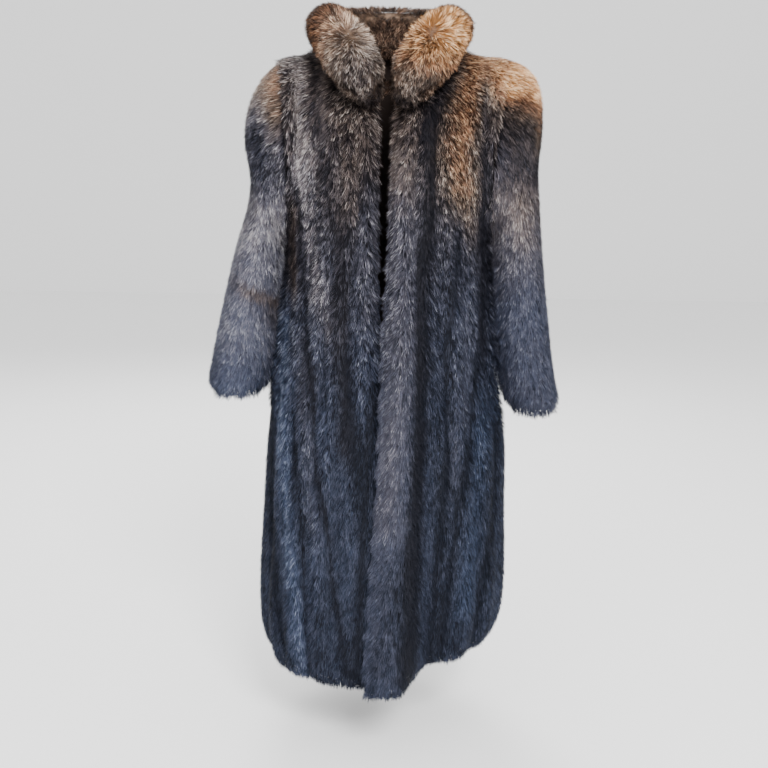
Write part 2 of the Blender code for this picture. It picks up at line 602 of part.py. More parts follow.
def make_collar(fronts, back, colour):
    """The collar: a full roll on the neckline that leans outward, with rounded front ends."""
    outer_line, inner_line = neckline(fronts, back)
    across_band = unit(np.cross(np.gradient(outer_line, axis=0), inner_line - outer_line))
    across_band *= np.sign(across_band[0, 2])
    count = len(outer_line)
    sections = []
    for i, (foot, inside) in enumerate(zip(outer_line, inner_line)):
        along = abs(2 * i / (count - 1) - 1)
        out, up, half_width, half_height, hang, start = (
            smooth(collar_roll["along"], collar_roll[name], along) for name in COLLAR_COLUMNS[1:]
        )
        away = foot[:2] - NECK_AXIS
        away = np.array([*(away / np.linalg.norm(away)), 0.0])
        rise = np.array([0.0, 0.0, 1.0])
        clear = across_band[i] * SEAM
        middle = foot + away * out + rise * up
        turns = np.radians(np.linspace(start, ROLL_END, ROLL_STEPS))
        heights = [hang if math.sin(t) < 0 < math.cos(t) else half_height for t in turns]
        roll = [
            middle + away * half_width * math.cos(t) + rise * height * math.sin(t)
            for t, height in zip(turns, heights)
        ]
        sections.append([foot + clear, *roll, inside + clear])
    sections = np.array(sections)
    for end, beside in ((0, 1), (-1, -2)):
        heart = sections[end].mean(0)
        onward = unit(heart - sections[beside].mean(0)) * (1, 1, 0) * END_NOSE
        nose = heart + (sections[end] - heart) * NOSE_SIZE + onward
        parts = [nose[None], sections] if end == 0 else [sections, nose[None]]
        sections = np.concatenate(parts)
    count, around = sections.shape[:2]
    points = sections.reshape(-1, 3)
    number = np.arange(count * around).reshape(count, around)
    faces = [tuple(number[0]), tuple(number[-1][::-1])]
    for i in range(count - 1):
        for k in range(around - 1):
            faces.append((number[i, k], number[i, k + 1], number[i + 1, k + 1], number[i + 1, k]))
    faces += band_faces(number[:, 0], number[:, -1], points)
    return add_mesh("collar", points, [tuple(map(int, f)) for f in faces], colour)


for old in list(bpy.data.objects):
    bpy.data.objects.remove(old, do_unlink=True)

coat = bpy.data.collections.new("fur_coat")
bpy.context.scene.collection.children.link(coat)

SILVER_BROWN = (0.115, 0.095, 0.088)
COOL_GREY = (0.135, 0.130, 0.135)
WARM_GREY = (0.160, 0.128, 0.108)
CREAM_BROWN = (0.280, 0.195, 0.130)

front_walls = {
    "right": make_front("right", COOL_GREY),
    "left": make_front("left", WARM_GREY),
}
back_walls = make_back(SILVER_BROWN)
make_sleeve("right", WARM_GREY)
make_sleeve("left", WARM_GREY)
make_collar(front_walls, back_walls, CREAM_BROWN)
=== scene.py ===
"""The looks of a full-length fox fur coat: on each wall of the frame a skin with a plain inside, and the fur.

Metres, +Z up. The fronts face -Y and the wearer's left is +X. Each wall of the frame is skin and
pile together, so the skin lies PILE under its outside and the hair fills what is between.

A band is a pair of values: where an effect starts, and where it is full.
"""

import json
import math

import bmesh
import bpy
import numpy as np
from mathutils import Matrix, Vector
from mathutils.bvhtree import BVHTree
from mathutils.kdtree import KDTree

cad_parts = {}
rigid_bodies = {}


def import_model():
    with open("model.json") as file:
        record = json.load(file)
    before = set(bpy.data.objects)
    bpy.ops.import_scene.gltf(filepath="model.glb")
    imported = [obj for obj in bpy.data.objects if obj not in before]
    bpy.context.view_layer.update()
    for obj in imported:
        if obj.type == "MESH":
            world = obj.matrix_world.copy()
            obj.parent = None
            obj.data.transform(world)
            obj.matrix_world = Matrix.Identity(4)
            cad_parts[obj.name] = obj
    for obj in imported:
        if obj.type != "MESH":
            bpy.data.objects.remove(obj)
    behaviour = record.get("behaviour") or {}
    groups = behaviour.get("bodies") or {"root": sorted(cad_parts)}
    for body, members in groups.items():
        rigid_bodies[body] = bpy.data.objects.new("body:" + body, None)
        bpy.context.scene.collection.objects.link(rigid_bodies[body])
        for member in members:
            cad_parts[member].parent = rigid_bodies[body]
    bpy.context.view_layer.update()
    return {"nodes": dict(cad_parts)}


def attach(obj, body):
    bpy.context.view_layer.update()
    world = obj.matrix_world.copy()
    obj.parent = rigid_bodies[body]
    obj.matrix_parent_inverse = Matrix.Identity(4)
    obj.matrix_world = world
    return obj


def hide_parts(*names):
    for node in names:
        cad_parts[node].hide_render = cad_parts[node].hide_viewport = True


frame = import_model()

MM = 0.001
BODY = ("front_right", "front_left", "back")

# ---------------------------------------------------------------- sizes of the skin

PILE = 11 * MM  # from the dense underfur, which the locks stand on, to the outside of the wall
COLLAR_PILE = 12 * MM
COLLAR_THINS = 22 * MM  # the collar's pile thins out over this towards its seam
MOST_PILE = 0.55  # share of a wall's thickness
PRESSED_REACH = 36 * MM  # the pile gives way to another piece this near in front of it
PRESSED_LOSS = 0.75  # share of the pile that goes where it is pressed flat
LINING_RISE = 4 * MM  # how far the inside lies within the wall
MOST_RISE = 0.2  # share of a wall's thickness
SKIN_EVENED = 2  # times that the pile's depth is averaged over neighbouring points
UNDER_PELT = 0.8 * MM  # how far the skin lies under the roots of the hair
ROUNDED = 7 * MM  # a corner of the skin is rounded off by no more than this
SEAM_REACH = 2.5 * MM  # another piece this near is sewn on, so the edge there isn't free
SEAM_WEIGHT = 0.01  # of a seam's faces in which way a free edge faces
COLLAR_HIDDEN = 6 * MM  # the collar wears no hair this near to the body
EDGE_REACH = 75 * MM  # the skin gives way to a free edge from this far
LEAST_INSET = 13 * MM  # how far the skin stops short of a front's edge
HAIR_ALONG = 18 * MM  # how far a hair reaches along the skin, and so how far the skin stops short of the hem
FACES_DOWN = -0.6  # the upward part of a hem's normals

# The hollow that a panel of the body lies around: its middle follows each point across by a share,
# to which the chest adds above the hips, and it lies no higher than its top
HOLLOW_SHARE, CHEST_SHARE = 0.3, 0.5
HIPS_BAND = (-0.42, -0.32)
HOLLOW_TOP = -0.15

# Fineness of the work
WELD = 0.01 * MM
JUST_OFF = 0.1 * MM  # a ray starts this far off its surface
THICKEST = 75 * MM  # no wall counts as thicker
WIDEST_GAP = 50 * MM  # another piece is looked for up to this far off
TINY, SMALLEST = 1e-6, 1e-9  # lengths that count as none
FACET_TURN, FACET_SKEW = 0.8, 1.0  # radians up to which two triangles are joined
FINER = 2  # times that the facets of a pelt are split

# How values are blended from the nearest points of a wall: how many, and how near one counts for all
MOVE_BLEND = (4, 2 * MM)
EDGE_BLEND = (3, 2 * MM)
PRESSED_BLEND = (3, 1 * MM)

# The middle line of each sleeve, from the armhole to the cuff
SLEEVE_LINES = {
    "sleeve_right": (
        (-0.190, 0.000, -0.130),
        (-0.228, 0.000, -0.170),
        (-0.243, 0.000, -0.222),
        (-0.237, -0.003, -0.281),
        (-0.250, -0.006, -0.346),
        (-0.271, -0.015, -0.459),
        (-0.292, -0.024, -0.584),
        (-0.300, -0.028, -0.700),
    ),
    "sleeve_left": (
        (0.205, 0.000, -0.120),
        (0.243, 0.000, -0.155),
        (0.257, 0.000, -0.213),
        (0.256, -0.004, -0.266),
        (0.262, -0.007, -0.327),
        (0.273, -0.011, -0.444),
        (0.290, -0.017, -0.580),
        (0.308, -0.022, -0.720),
    ),
}

# ---------------------------------------------------------------- sizes of the hair

# A lock of hair: a few hairs side by side, each a long narrow triangle
LOCK_KINDS = 12
LOCK_HAIRS = 12
HAIR = 23 * MM
HAIR_LENGTHS = (0.86, 1.08)
HAIR_WIDTH = 1.0 * MM  # real hairs are 0.1 mm wide, and this is what shows of several side by side
WIDEST = 0.62  # share of a hair's length from the root to where it is widest
ROOT_SPREAD, TIP_SPREAD = 5.5 * MM, 5 * MM
HAIR_LIFT, LIFT_STRAY = 26, 5  # degrees from the skin, more or less
ROLL = 25  # degrees that a hair turns on its length, to either side
MIDDLE = 0.5  # of a chance between 0 and 1
LOCK_SEED = 5

# Locks on a pelt
LOCK_SIZES = (0.90, 1.10)
TILT = (0.25, 0.05, 0.17)  # radians that a lock turns: on its length, up or down, and aside
TRIED = 2.2  # places tried for each lock
APART = 0.80  # least distance between locks, as a share of an even spacing
FIRST_SEED = 7
TILT_SEED, SIZE_SEED, KIND_SEED, CHANCE_SEED = 11, 12, 13, 14

# Fur of each piece
FURS = (
    # piece          locks_per_m2  length  lift_degrees
    ("front_right", 50000, 1.00, 0),
    ("front_left", 50000, 1.00, 0),
    ("back", 48000, 1.00, 0),
    ("sleeve_right", 50000, 0.95, 0),
    ("sleeve_left", 50000, 0.95, 0),
    ("collar", 78000, 1.08, 8),
)

# What each effect does to the hair where it is full: degrees of lift, and the share that its length grows
EFFECTS = {
    "shoulder": (-12, 0.0),  # where the surface looks up
    "groove": (-8, -0.25),  # between two pelt strips
    "rim": (15, 0.0),  # round a free edge
    "hem": (0, -0.18),  # by a free edge that faces down
    "hem_rim": (45, -0.2),  # round such an edge
    "pressed": (28, 0.4),  # where another piece lies against it, for the short pile not to look bare
    "cuff": (-16, 0.0),  # above the edge of a cuff
    "wing_lift": (25, 0.0),  # in the middle of a wing of the collar
    "wing_far": (0, -0.25),  # away from there
    "opening": (-14, -0.3),  # where the wings meet in front
    "collar_seam": (12, 0.25),  # by the body
}
SHOULDER_BAND = (0.5, 0.9)  # of a normal's upward part
EDGE_BAND = (30 * MM, 10 * MM)  # of the distance from a free edge
RIM_BAND = (0.5, 0.8)  # of how far a surface faces as its edge does
CUFF_BAND = (22 * MM, 7 * MM)  # of the distance from the cuff's edge
WING_LIFT_BAND = (38 * MM, 8 * MM)  # of the distance from the middle of a wing
WING_FAR_BAND = (60 * MM, 90 * MM)
WING_MIDDLE_BAND = (40 * MM, 10 * MM)
COLLAR_SEAM_BAND = (25 * MM, 0)  # of the gap between the collar and the body
OPENING_BAND = (0.035, 0)  # of the distance from the middle of the fronts
OPENING_FRONT = -0.10  # the wings meet in front of this

# How far locks stray from the way the hair lies, and how bright a hair's root is beside its tone
SKIRT_BAND = (-0.35, -0.65)  # of height
SKIRT_CALMER, HEM_CALMER = 0.4, 0.5  # how much less they stray there
COLLAR_STRAY, WING_STRAY, SEAM_STRAY = 2.0, 2.5, 1.5
ROOT_SHARE = 0.28
COLLAR_ROOT_SHARE, WING_ROOT_SHARE = 0.24, 0.5

# Which way the hair lies
DOWN = np.array((0.0, 0.0, -1.0))
NECK = np.array((0.0, -0.01, 0.0))  # the middle of the neck
WINGS = (  # where the hair of each wing of the collar starts from
    Vector((-0.067, -0.165, 0.045)),
    Vector((0.076, -0.165, 0.045)),
)
WING_FLOW_BAND = (0.14, 0.05)  # of the distance from there
OVER_ROLL = (0.8, np.array((0, 0, -0.6)))  # out from the neck, and down, on the rest of the collar
FROM_NECK, FROM_NECK_BAND = 0.9, (-0.16, 0.02)  # out from the neck, on the shoulders, by height
BACK_LEAN, BACK_LEAN_BAND = 0.12, (0.0, 0.05)  # out from the middle of the back
FRONT_LEAN, SIDE_LEAN, SIDE_LEAN_BAND = -0.30, 0.55, (0.035, 0.115)  # in at the front edge, out beside it
HEM_LEAN, CHEST_LEAN, CHEST_BAND = 0.15, 0.85, (-0.80, -0.30)  # how much of that is left, by height
BODY_FAN, SLEEVE_FAN = 0.35, 0.12  # how far hair fans out from the ridge of each roll
FLOW_SEEDS, FLOW_SWELL, BODY_STRAY, SLEEVE_STRAY = (21, 22, 23), 0.12, 0.06, 0.12
COLLAR_SEEDS, COLLAR_SWELL, COLLAR_FLOW_STRAY = (24, 25, 26), 0.06, 0.22
BROAD_TIMES = 60  # times that normals are averaged, to tell a roll from its surroundings
OVER_EDGE, OVER_LAP = 0.12, 0.6  # how far hair turns out over an upright edge, and the more below the breast
OVER_EDGE_BAND = (40 * MM, 0)
LAP_BAND = (-0.38, -0.43)  # of height

# Grooves between the pelt strips, where the hair lies lower and shorter and shade is painted on it
GROOVE_WIDTH = 0.012  # a mark no wider than this is a groove
GROOVE_TIMES = 40  # times that points are averaged, to tell what stands out
GROOVE_BAND = (1.4 * MM, -0.8 * MM)  # of how far a point stands out
BACK_GROOVE, FRONT_GROOVE = 0.75, 0.3  # how deep they look, in painted shade and in lower, shorter hair
UPRIGHT = 2  # rise over run of an edge of the mesh that runs along the strips

# ---------------------------------------------------------------- colours of the hair

# A swell of random values: its seed, about how wide it is, and how far it reaches
BORDER_WAVES = ((31, 0.22, 0.015), (34, 0.06, 0.010))  # the height of the borders between colours
BACK_WAVE, BACK_BAND = (37, 0.10, 0.03), (-0.015, 0.035)  # and more of it behind
TONE_WAVES = ((32, 0.09, 0.04), (33, 0.03, 0.03))
MARK_WAVE = (35, 0.05, 3 * MM)  # the sides of a mark
COLLAR_WAVE = (36, 0.035, 0.07)
SWELLS, SWELL_SIZES, TURN = 6, (0.6, 1.5), 6.28  # how many are laid over each other, and how they vary
BACK_HANGS = 0.35  # colours reach further down behind, by this share of how far back they are
# Painted shade in the grooves between the strips, where the hair also parts over the dark underfur: how much
# darker and duller the hair is there, and the painted light on the strips between
GROOVE_PAINTED_SHADE, GROOVE_DULLER, STRIP_PAINTED_LIGHT = 0.60, 0.55, 0.04
LEAST_TONE, LEAST_CONTRAST, LEAST_COLLAR_TONE = 0.05, 0.05, 0.03
SOFT_END = 0.028  # a mark fades out beyond its ends over this much more than across it
COLLAR_CONTRAST, BY_TONE = 0.35, 0.95  # contrast of the collar, and how it grows with its tone

# From hair to hair: most are dark and a few pale, partly by each hair and partly by each lock
HAIR_SHARE, HAIR_RARITY = 0.58, 2.6
LOCK_SHARE, LOCK_RARITY = 0.42, 2.0
USUAL = 0.29  # about the mean of the two
SWING = 2.2  # how far a tip's tone moves from the fur's, for each step of contrast
TINT_STRAY = 0.10  # between locks
SIDE_TINT = 0.012  # across a hair
COLOUR_LIMITS = (0.01, 0.99)  # a hair's tint and tone stay within these

# Values that the fur reads from the points of a pelt and of a lock
PELT_VALUES = ("lift", "length", "stray", "root", "tint", "tone", "contrast")
LOCK_VALUES = {  # at a hair's root, its widest place and its tip
    "shine": (0.0, 0.55, 1.0),
    "side": (0.0, 1.0, 0.0),
}

# Colour of the fur at each height: tint 0 is blue grey, 0.35 neutral, 0.6 silver tan, 0.8 brown, 1 gold.
# The sleeves' tables have the same columns. Towards the hem the fur is bluer and darker: partly its own
# blue grey, partly painted cool shade.
BODY_COLOURS = (
    # height  tint  tone  contrast
    (-1.30, 0.07, 0.10, 0.28),
    (-0.95, 0.10, 0.165, 0.34),
    (-0.65, 0.10, 0.17, 0.48),
    (-0.45, 0.16, 0.15, 0.64),
    (-0.25, 0.34, 0.14, 0.74),
    (-0.05, 0.48, 0.15, 0.76),
    (0.20, 0.55, 0.22, 0.70),
)
SLEEVE_COLOURS = {
    "sleeve_right": (
        (-0.72, 0.10, 0.28, 0.28),
        (-0.63, 0.12, 0.34, 0.30),
        (-0.57, 0.18, 0.42, 0.32),
        (-0.50, 0.24, 0.58, 0.34),
        (-0.42, 0.26, 0.54, 0.36),
        (-0.33, 0.34, 0.67, 0.44),
        (-0.26, 0.36, 0.63, 0.46),
        (-0.20, 0.32, 0.30, 0.62),
        (-0.14, 0.34, 0.30, 0.66),
        (-0.10, 0.50, 0.50, 0.60),
        (-0.05, 0.64, 0.52, 0.48),
        (0.05, 0.64, 0.46, 0.48),
    ),
    "sleeve_left": (
        (-0.72, 0.18, 0.28, 0.26),
        (-0.60, 0.17, 0.36, 0.30),
        (-0.45, 0.17, 0.37, 0.34),
        (-0.32, 0.34, 0.44, 0.38),
        (-0.23, 0.42, 0.40, 0.42),
        (-0.17, 0.36, 0.12, 0.30),
        (-0.10, 0.44, 0.07, 0.30),
        (-0.065, 0.74, 0.20, 0.44),
        # cream at the top of the arm: the fur's own cream, and painted warm light from above on this side
        (-0.04, 0.95, 0.83, 0.60),
        (0.05, 1.00, 0.94, 0.60),
    ),
}

# Pelts of other colours, and the painted shade of the dark lines and folds between: a tint and how fully
# it takes over, what is added to tone and contrast, and the line it follows across and up
MARKS = {
    "front_right": (
        # half_width, tint, share, tone, contrast, and the line
        # grizzled silver strip from the shoulder to the hip, and a narrow one beside it
        ((0.023, 0.44, 0.8, 0.38, 0.16), ((-0.165, -0.02), (-0.156, -0.17))),
        ((0.022, 0.38, 0.8, 0.19, 0.12),
         ((-0.154, -0.22), (-0.140, -0.32), (-0.125, -0.42), (-0.105, -0.485))),
        ((0.012, 0.46, 0.7, 0.33, 0.10), ((-0.117, -0.01), (-0.117, -0.13))),
        # brown grey strip by the sleeve
        ((0.012, 0.60, 0.7, 0.04, 0.0), ((-0.180, -0.28), (-0.175, -0.41))),
        # dark band from the breast to the thigh
        ((0.015, 0.34, 0.6, -0.18, -0.26),
         ((-0.115, -0.15), (-0.105, -0.225), (-0.090, -0.30), (-0.083, -0.37), (-0.080, -0.53),
          (-0.066, -0.70))),
        # shade under the collar
        ((0.016, 0.50, 0.5, -0.07, -0.06), ((-0.114, 0.00), (-0.094, -0.10))),
        # brown flecks by the free edge, and smooth lilac grey under them
        ((0.036, 0.54, 0.7, 0.02, -0.12), ((-0.055, -0.09), (-0.060, -0.25))),
        ((0.020, 0.26, 0.8, 0.07, -0.12), ((-0.038, -0.27), (-0.040, -0.45))),
        # pale blue strip down the skirt
        ((0.014, 0.03, 0.7, 0.24, 0.20),
         ((-0.190, -0.50), (-0.192, -0.60), (-0.194, -0.70), (-0.182, -0.87), (-0.164, -1.03),
          (-0.155, -1.15))),
        # brown grey strip on the thigh
        ((0.018, 0.24, 0.8, 0.07, 0.04), ((-0.152, -0.52), (-0.149, -0.64), (-0.135, -0.86))),
        # paler skirt
        ((0.050, 0.08, 0.3, 0.06, 0.04), ((-0.140, -0.75), (-0.125, -1.00))),
        # darker hem, partly painted shade, and the painted shade beside the lap
        ((0.050, 0.08, 0.3, -0.04, -0.02), ((-0.150, -1.06), (-0.110, -1.16))),
        ((0.010, 0.10, 0.4, -0.11, -0.10),
         ((-0.020, -0.60), (-0.030, -0.77), (-0.037, -0.97), (-0.042, -1.17))),
        # dark lines: painted shade in the grooves, with the dark underfur where the hair parts
        ((0.008, 0.30, 0.3, -0.16, -0.20), ((-0.132, 0.00), (-0.132, -0.12))),
        ((0.007, 0.20, 0.3, -0.16, -0.16),
         ((-0.165, -0.24), (-0.157, -0.35), (-0.147, -0.44), (-0.140, -0.56), (-0.125, -0.76),
          (-0.104, -0.89), (-0.063, -1.16))),
        ((0.009, 0.20, 0.3, -0.14, -0.12), ((-0.197, -0.12), (-0.195, -0.38))),
        ((0.009, 0.05, 0.4, -0.12, 0.0),
         ((-0.217, -0.50), (-0.224, -0.67), (-0.219, -0.87), (-0.208, -1.03), (-0.187, -1.14))),
        ((0.008, 0.05, 0.4, -0.12, 0.0), ((-0.171, -0.67), (-0.158, -0.87), (-0.146, -1.11))),
        ((0.012, 0.05, 0.4, -0.16, 0.0), ((-0.070, -0.55), (-0.058, -0.66), (-0.044, -0.80))),
    ),
    "front_left": (
        # half_width, tint, share, tone, contrast, and the line
        # pale edge strip, browner at the breast
        ((0.031, 0.31, 0.8, 0.22, -0.08),
         ((0.028, -0.20), (0.034, -0.29), (0.031, -0.36), (0.028, -0.56), (0.011, -0.85))),
        ((0.036, 0.17, 0.7, 0.04, 0.00), ((0.008, -0.92), (0.003, -0.97), (-0.003, -1.12))),
        ((0.030, 0.54, 0.7, 0.00, -0.22), ((0.030, -0.07), (0.030, -0.20))),
        # shade beside the collar's tip, and the dark line down from it, both painted shade
        ((0.017, 0.24, 0.7, -0.26, -0.50), ((0.103, 0.01), (0.098, -0.05), (0.084, -0.11))),
        ((0.012, 0.28, 0.5, -0.26, -0.30),
         ((0.080, -0.10), (0.080, -0.27), (0.074, -0.33), (0.064, -0.38), (0.064, -0.53),
          (0.064, -0.70), (0.056, -0.87), (0.050, -1.15))),
        # orange brown strip, and its tail
        ((0.030, 0.77, 0.95, -0.03, 0.16), ((0.146, 0.01), (0.138, -0.07))),
        ((0.036, 0.76, 0.95, 0.07, 0.20), ((0.136, -0.09), (0.129, -0.17), (0.134, -0.21))),
        ((0.022, 0.70, 0.4, 0.04, 0.10), ((0.145, -0.24), (0.155, -0.29))),
        # cream shoulder: the fur's own cream, and painted warm light from above on this side
        ((0.038, 0.88, 0.95, 0.78, 0.06), ((0.185, 0.02), (0.215, -0.030))),
        # shaded side of the last strip
        ((0.012, 0.25, 0.6, -0.14, -0.16), ((0.178, -0.08), (0.184, -0.26), (0.186, -0.53))),
        # lilac grey strip
        ((0.017, 0.18, 0.8, 0.07, -0.04),
         ((0.153, -0.42), (0.155, -0.53), (0.145, -0.66), (0.133, -0.78))),
        # dark lines: painted shade in the grooves, with the dark underfur where the hair parts
        ((0.008, 0.05, 0.4, -0.15, -0.14),
         ((0.131, -0.32), (0.124, -0.43), (0.117, -0.54), (0.120, -0.74), (0.113, -0.89),
          (0.104, -1.03), (0.098, -1.14))),
        ((0.008, 0.05, 0.4, -0.14, -0.10),
         ((0.176, -0.56), (0.167, -0.68), (0.146, -0.87), (0.127, -1.03), (0.120, -1.13))),
        ((0.009, 0.05, 0.4, -0.12, 0.0),
         ((0.223, -0.69), (0.220, -0.87), (0.207, -0.99), (0.191, -1.11))),
        # darker hem by the side, partly painted shade
        ((0.050, 0.06, 0.3, -0.05, -0.02), ((0.180, -1.02), (0.150, -1.10))),
        # pale blue strip down the skirt
        ((0.018, 0.00, 0.7, 0.04, 0.06), ((0.191, -0.69), (0.181, -0.87), (0.166, -1.03))),
    ),
    "back": (
        # half_width, tint, share, tone, contrast, and the line
        # shoulders, and silver, brown and pale strips
        ((0.045, 0.80, 0.9, 0.60, 0.04), ((0.200, 0.02), (0.207, -0.05))),
        ((0.040, 0.62, 0.7, 0.12, 0.04), ((-0.195, 0.02), (-0.197, -0.07))),
        ((0.030, 0.68, 0.7, 0.08, 0.08), ((0.130, 0.02), (0.130, -0.12), (0.138, -0.26))),
        ((0.026, 0.42, 0.6, 0.14, 0.12), ((-0.130, 0.00), (-0.132, -0.22), (-0.130, -0.50))),
        ((0.026, 0.42, 0.6, 0.12, 0.10), ((0.035, -0.02), (0.035, -0.30), (0.034, -0.60))),
        ((0.024, 0.52, 0.6, 0.05, 0.06), ((-0.045, -0.02), (-0.045, -0.24), (-0.046, -0.42))),
        ((0.026, 0.24, 0.5, 0.07, 0.06), ((-0.045, -0.55), (-0.050, -0.80), (-0.060, -1.10))),
        ((0.026, 0.26, 0.5, 0.07, 0.06), ((0.150, -0.40), (0.160, -0.70), (0.175, -1.00))),
        ((0.250, 0.20, 0.5, 0.02, 0.04), ((0.000, -0.60), (0.000, -1.20))),
    ),
    "sleeve_right": (
        # half_width, tint, share, tone, contrast, and the line
        # brown by the seam, dark outside of the shoulder puff, and painted shade in the crease at the elbow
        ((0.014, 0.68, 0.7, -0.14, 0.0), ((-0.205, -0.02), (-0.205, -0.09))),
        ((0.024, 0.20, 0.7, -0.24, -0.10), ((-0.245, -0.125), (-0.240, -0.195))),
        ((0.009, 0.60, 0.6, -0.20, 0.0), ((-0.262, -0.43), (-0.229, -0.45))),
        ((0.015, 0.60, 0.3, -0.28, 0.0), ((-0.220, -0.49), (-0.210, -0.51))),
    ),
    "sleeve_left": (
        # half_width, tint, share, tone, contrast, and the line
        # paler by the seam, reddish outside, tan at the upper arm
        ((0.010, 0.30, 0.5, 0.10, 0.0), ((0.207, -0.15), (0.207, -0.18))),
        ((0.012, 0.76, 0.7, 0.10, 0.0), ((0.281, -0.07), (0.281, -0.11))),
        ((0.022, 0.56, 0.4, 0.04, 0.04), ((0.258, -0.25), (0.262, -0.31))),
    ),
}

# Colours of the collar, some of them painted light and shade, each strongest at its centre
COLLAR_COLOUR = (0.66, 0.24)  # tint and tone of the rest of it
COLLAR_MARKS = (
    # centre  radius  tint  tone
    # silver wing: its ball, and what lies below
    ((-0.060, -0.170, 0.045), 0.060, 0.62, 0.99),
    ((-0.105, -0.165, 0.035), 0.028, 0.66, 0.98),
    ((-0.060, -0.180, -0.035), 0.055, 0.48, 0.36),
    # dark brown outside of it, darker still with painted shade on this side
    ((-0.150, -0.080, 0.050), 0.070, 0.80, 0.02),
    ((-0.148, -0.130, 0.050), 0.054, 0.78, 0.00),
    # behind the neck
    ((0.000, 0.040, 0.060), 0.090, 0.66, 0.20),
    # golden wing: its ball, lit on top by painted warm light, with painted shade on its lower side
    # by the opening; what lies below; and outside, paler with painted light on this side
    ((0.090, -0.170, 0.050), 0.055, 0.98, 0.80),
    ((0.045, -0.175, 0.030), 0.028, 0.86, 0.30),
    ((0.065, -0.185, -0.002), 0.034, 0.88, 0.70),
    ((0.125, -0.130, 0.060), 0.045, 0.98, 0.46),
    ((0.042, -0.180, -0.045), 0.036, 0.60, 0.44),
    ((0.085, -0.175, -0.045), 0.024, 0.50, 0.06),
    ((0.155, -0.060, 0.050), 0.050, 0.88, 0.50),
    # shade under both wings, where they meet
    ((-0.030, -0.155, -0.086), 0.030, 0.46, 0.04),
    ((0.030, -0.155, -0.086), 0.030, 0.46, 0.04),
)

# Dark, middle and light of the hair at each tint
SHADES = (
    # tint   dark       middle     light
    (0.00, "#0b0e16", "#3e4a64", "#8c9ab4"),
    (0.35, "#0d0c10", "#55525b", "#b8b6bb"),
    (0.60, "#120c0a", "#76665c", "#d2c6ba"),
    (0.80, "#180d07", "#8a6046", "#e0b88e"),
    (1.00, "#2c180a", "#b67e46", "#ffe2b8"),
)

# ---------------------------------------------------------------- places of the stage

FLOOR_Z = -1.36
BACKDROP_Y = 9
STAGE_SIZE = 30
LIGHTS = (
    # name        place               size  power
    ("Key", (0.9, -3.0, 1.6), 1.2, 220),
    ("Fill", (-1.6, -3.0, 0.6), 2.0, 40),
    ("Back light", (-0.6, 3.0, 1.8), 1.8, 150),
)
LIT_POINT = (0, 0, -0.5)
SKY_STRENGTH = 1.5
SENSOR = 36
FOCAL_PIXELS, PICTURE_PIXELS = 950, 768
CAMERA_PLACE = (0, -1.95, -0.26)
CAMERA_DOWN, CAMERA_ROLL = 11, 0.9  # degrees


def main():
    walls = {name: Wall(name) for name in frame["nodes"]}
    for wall in walls.values():
        wall.find_edges([w for w in walls.values() if w is not wall])
    locks = make_locks()
    fur = fox_hair()
    tree = fur_tree(locks)
    dark, pale, inside = dark_underfur(), pale_underfur(), plain_inside()
    for name, density, length, lift in FURS:
        wall = walls[name]
        pelt, used, rooted = make_pelt(wall)
        store_values(pelt.data, wall, length, lift)
        skin = make_skin(wall, used, rooted, pale if name == "collar" else dark, inside)
        hairs = grow(name + "_fur", pelt, tree, density, fur)
        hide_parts(name)
        for piece in [skin, *hairs]:
            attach(piece, "root")
        declare(wall)
        bpy.data.objects.remove(pelt)
    for lock in list(locks.objects):
        bpy.data.objects.remove(lock)
    bpy.data.collections.remove(locks)
    stage()


# ---------------------------------------------------------------- small helpers


def fade(value, start, full):
    """0 up to start, 1 from full on and smooth between. Full may be the smaller of the two."""
    t = np.clip((value - start) / (full - start), 0.0, 1.0)
    return t * t * (3 - 2 * t)


def unit(vectors):
    """Vectors of the same ways, each of length 1."""
    return vectors / np.maximum(np.linalg.norm(vectors, axis=-1, keepdims=True), SMALLEST)


def dot(a, b):
    return np.sum(a * b, axis=-1)


def across(vectors, normals):
    """What is left of vectors along a surface with those normals, as unit vectors."""
    return unit(vectors - normals * dot(vectors, normals)[:, None])


def colour(code):
    """Linear colour of an sRGB hex code."""
    parts = [int(code[i : i + 2], 16) / 255 for i in (1, 3, 5)]
    return [p / 12.92 if p <= 0.04045 else ((p + 0.055) / 1.055) ** 2.4 for p in parts] + [1.0]


def spread(values, edges, times):
    """Values of points, averaged with those of their neighbours a number of times."""
    ends = np.concatenate((edges, edges[:, ::-1]))
    count = np.bincount(ends[:, 0], minlength=len(values))[:, None]
    for _ in range(times):
        total = [np.bincount(ends[:, 0], column[ends[:, 1]], len(values)) for column in values.T]
        values = (values + np.array(total).T) / (1 + count)
    return values


def wave(points, seed, size, reach=1.0):
    """A smooth random value from about -reach to reach at each point, with swells of about that size."""
    random = np.random.default_rng(seed)
    total = np.zeros(len(points))
    for _ in range(SWELLS):
        way = unit(random.normal(size=3)) * random.uniform(*SWELL_SIZES) * 2 * math.pi / size
        total += np.sin(points @ way + random.uniform(0, TURN))
    return reach * (total / (SWELLS / 2))


def object_of(name, points, faces):
    """A new mesh object in the scene."""
    mesh = bpy.data.meshes.new(name)
    mesh.from_pydata([tuple(p) for p in points], [], [tuple(int(i) for i in f) for f in faces])
    made = bpy.data.objects.new(name, mesh)
    bpy.context.scene.collection.objects.link(made)
    return made


def put(mesh, name, values, kind="FLOAT", field="value"):
    """Store a value or vector on each point of a mesh."""
    mesh.attributes.new(name, kind, "POINT").data.foreach_set(field, np.asarray(values, np.float32).ravel())


def settle(made):
    """The object with its modifiers made real."""
    graph = bpy.context.evaluated_depsgraph_get()
    mesh = bpy.data.meshes.new_from_object(made.evaluated_get(graph), depsgraph=graph)
    made.modifiers.clear()
    made.data = mesh
    return made


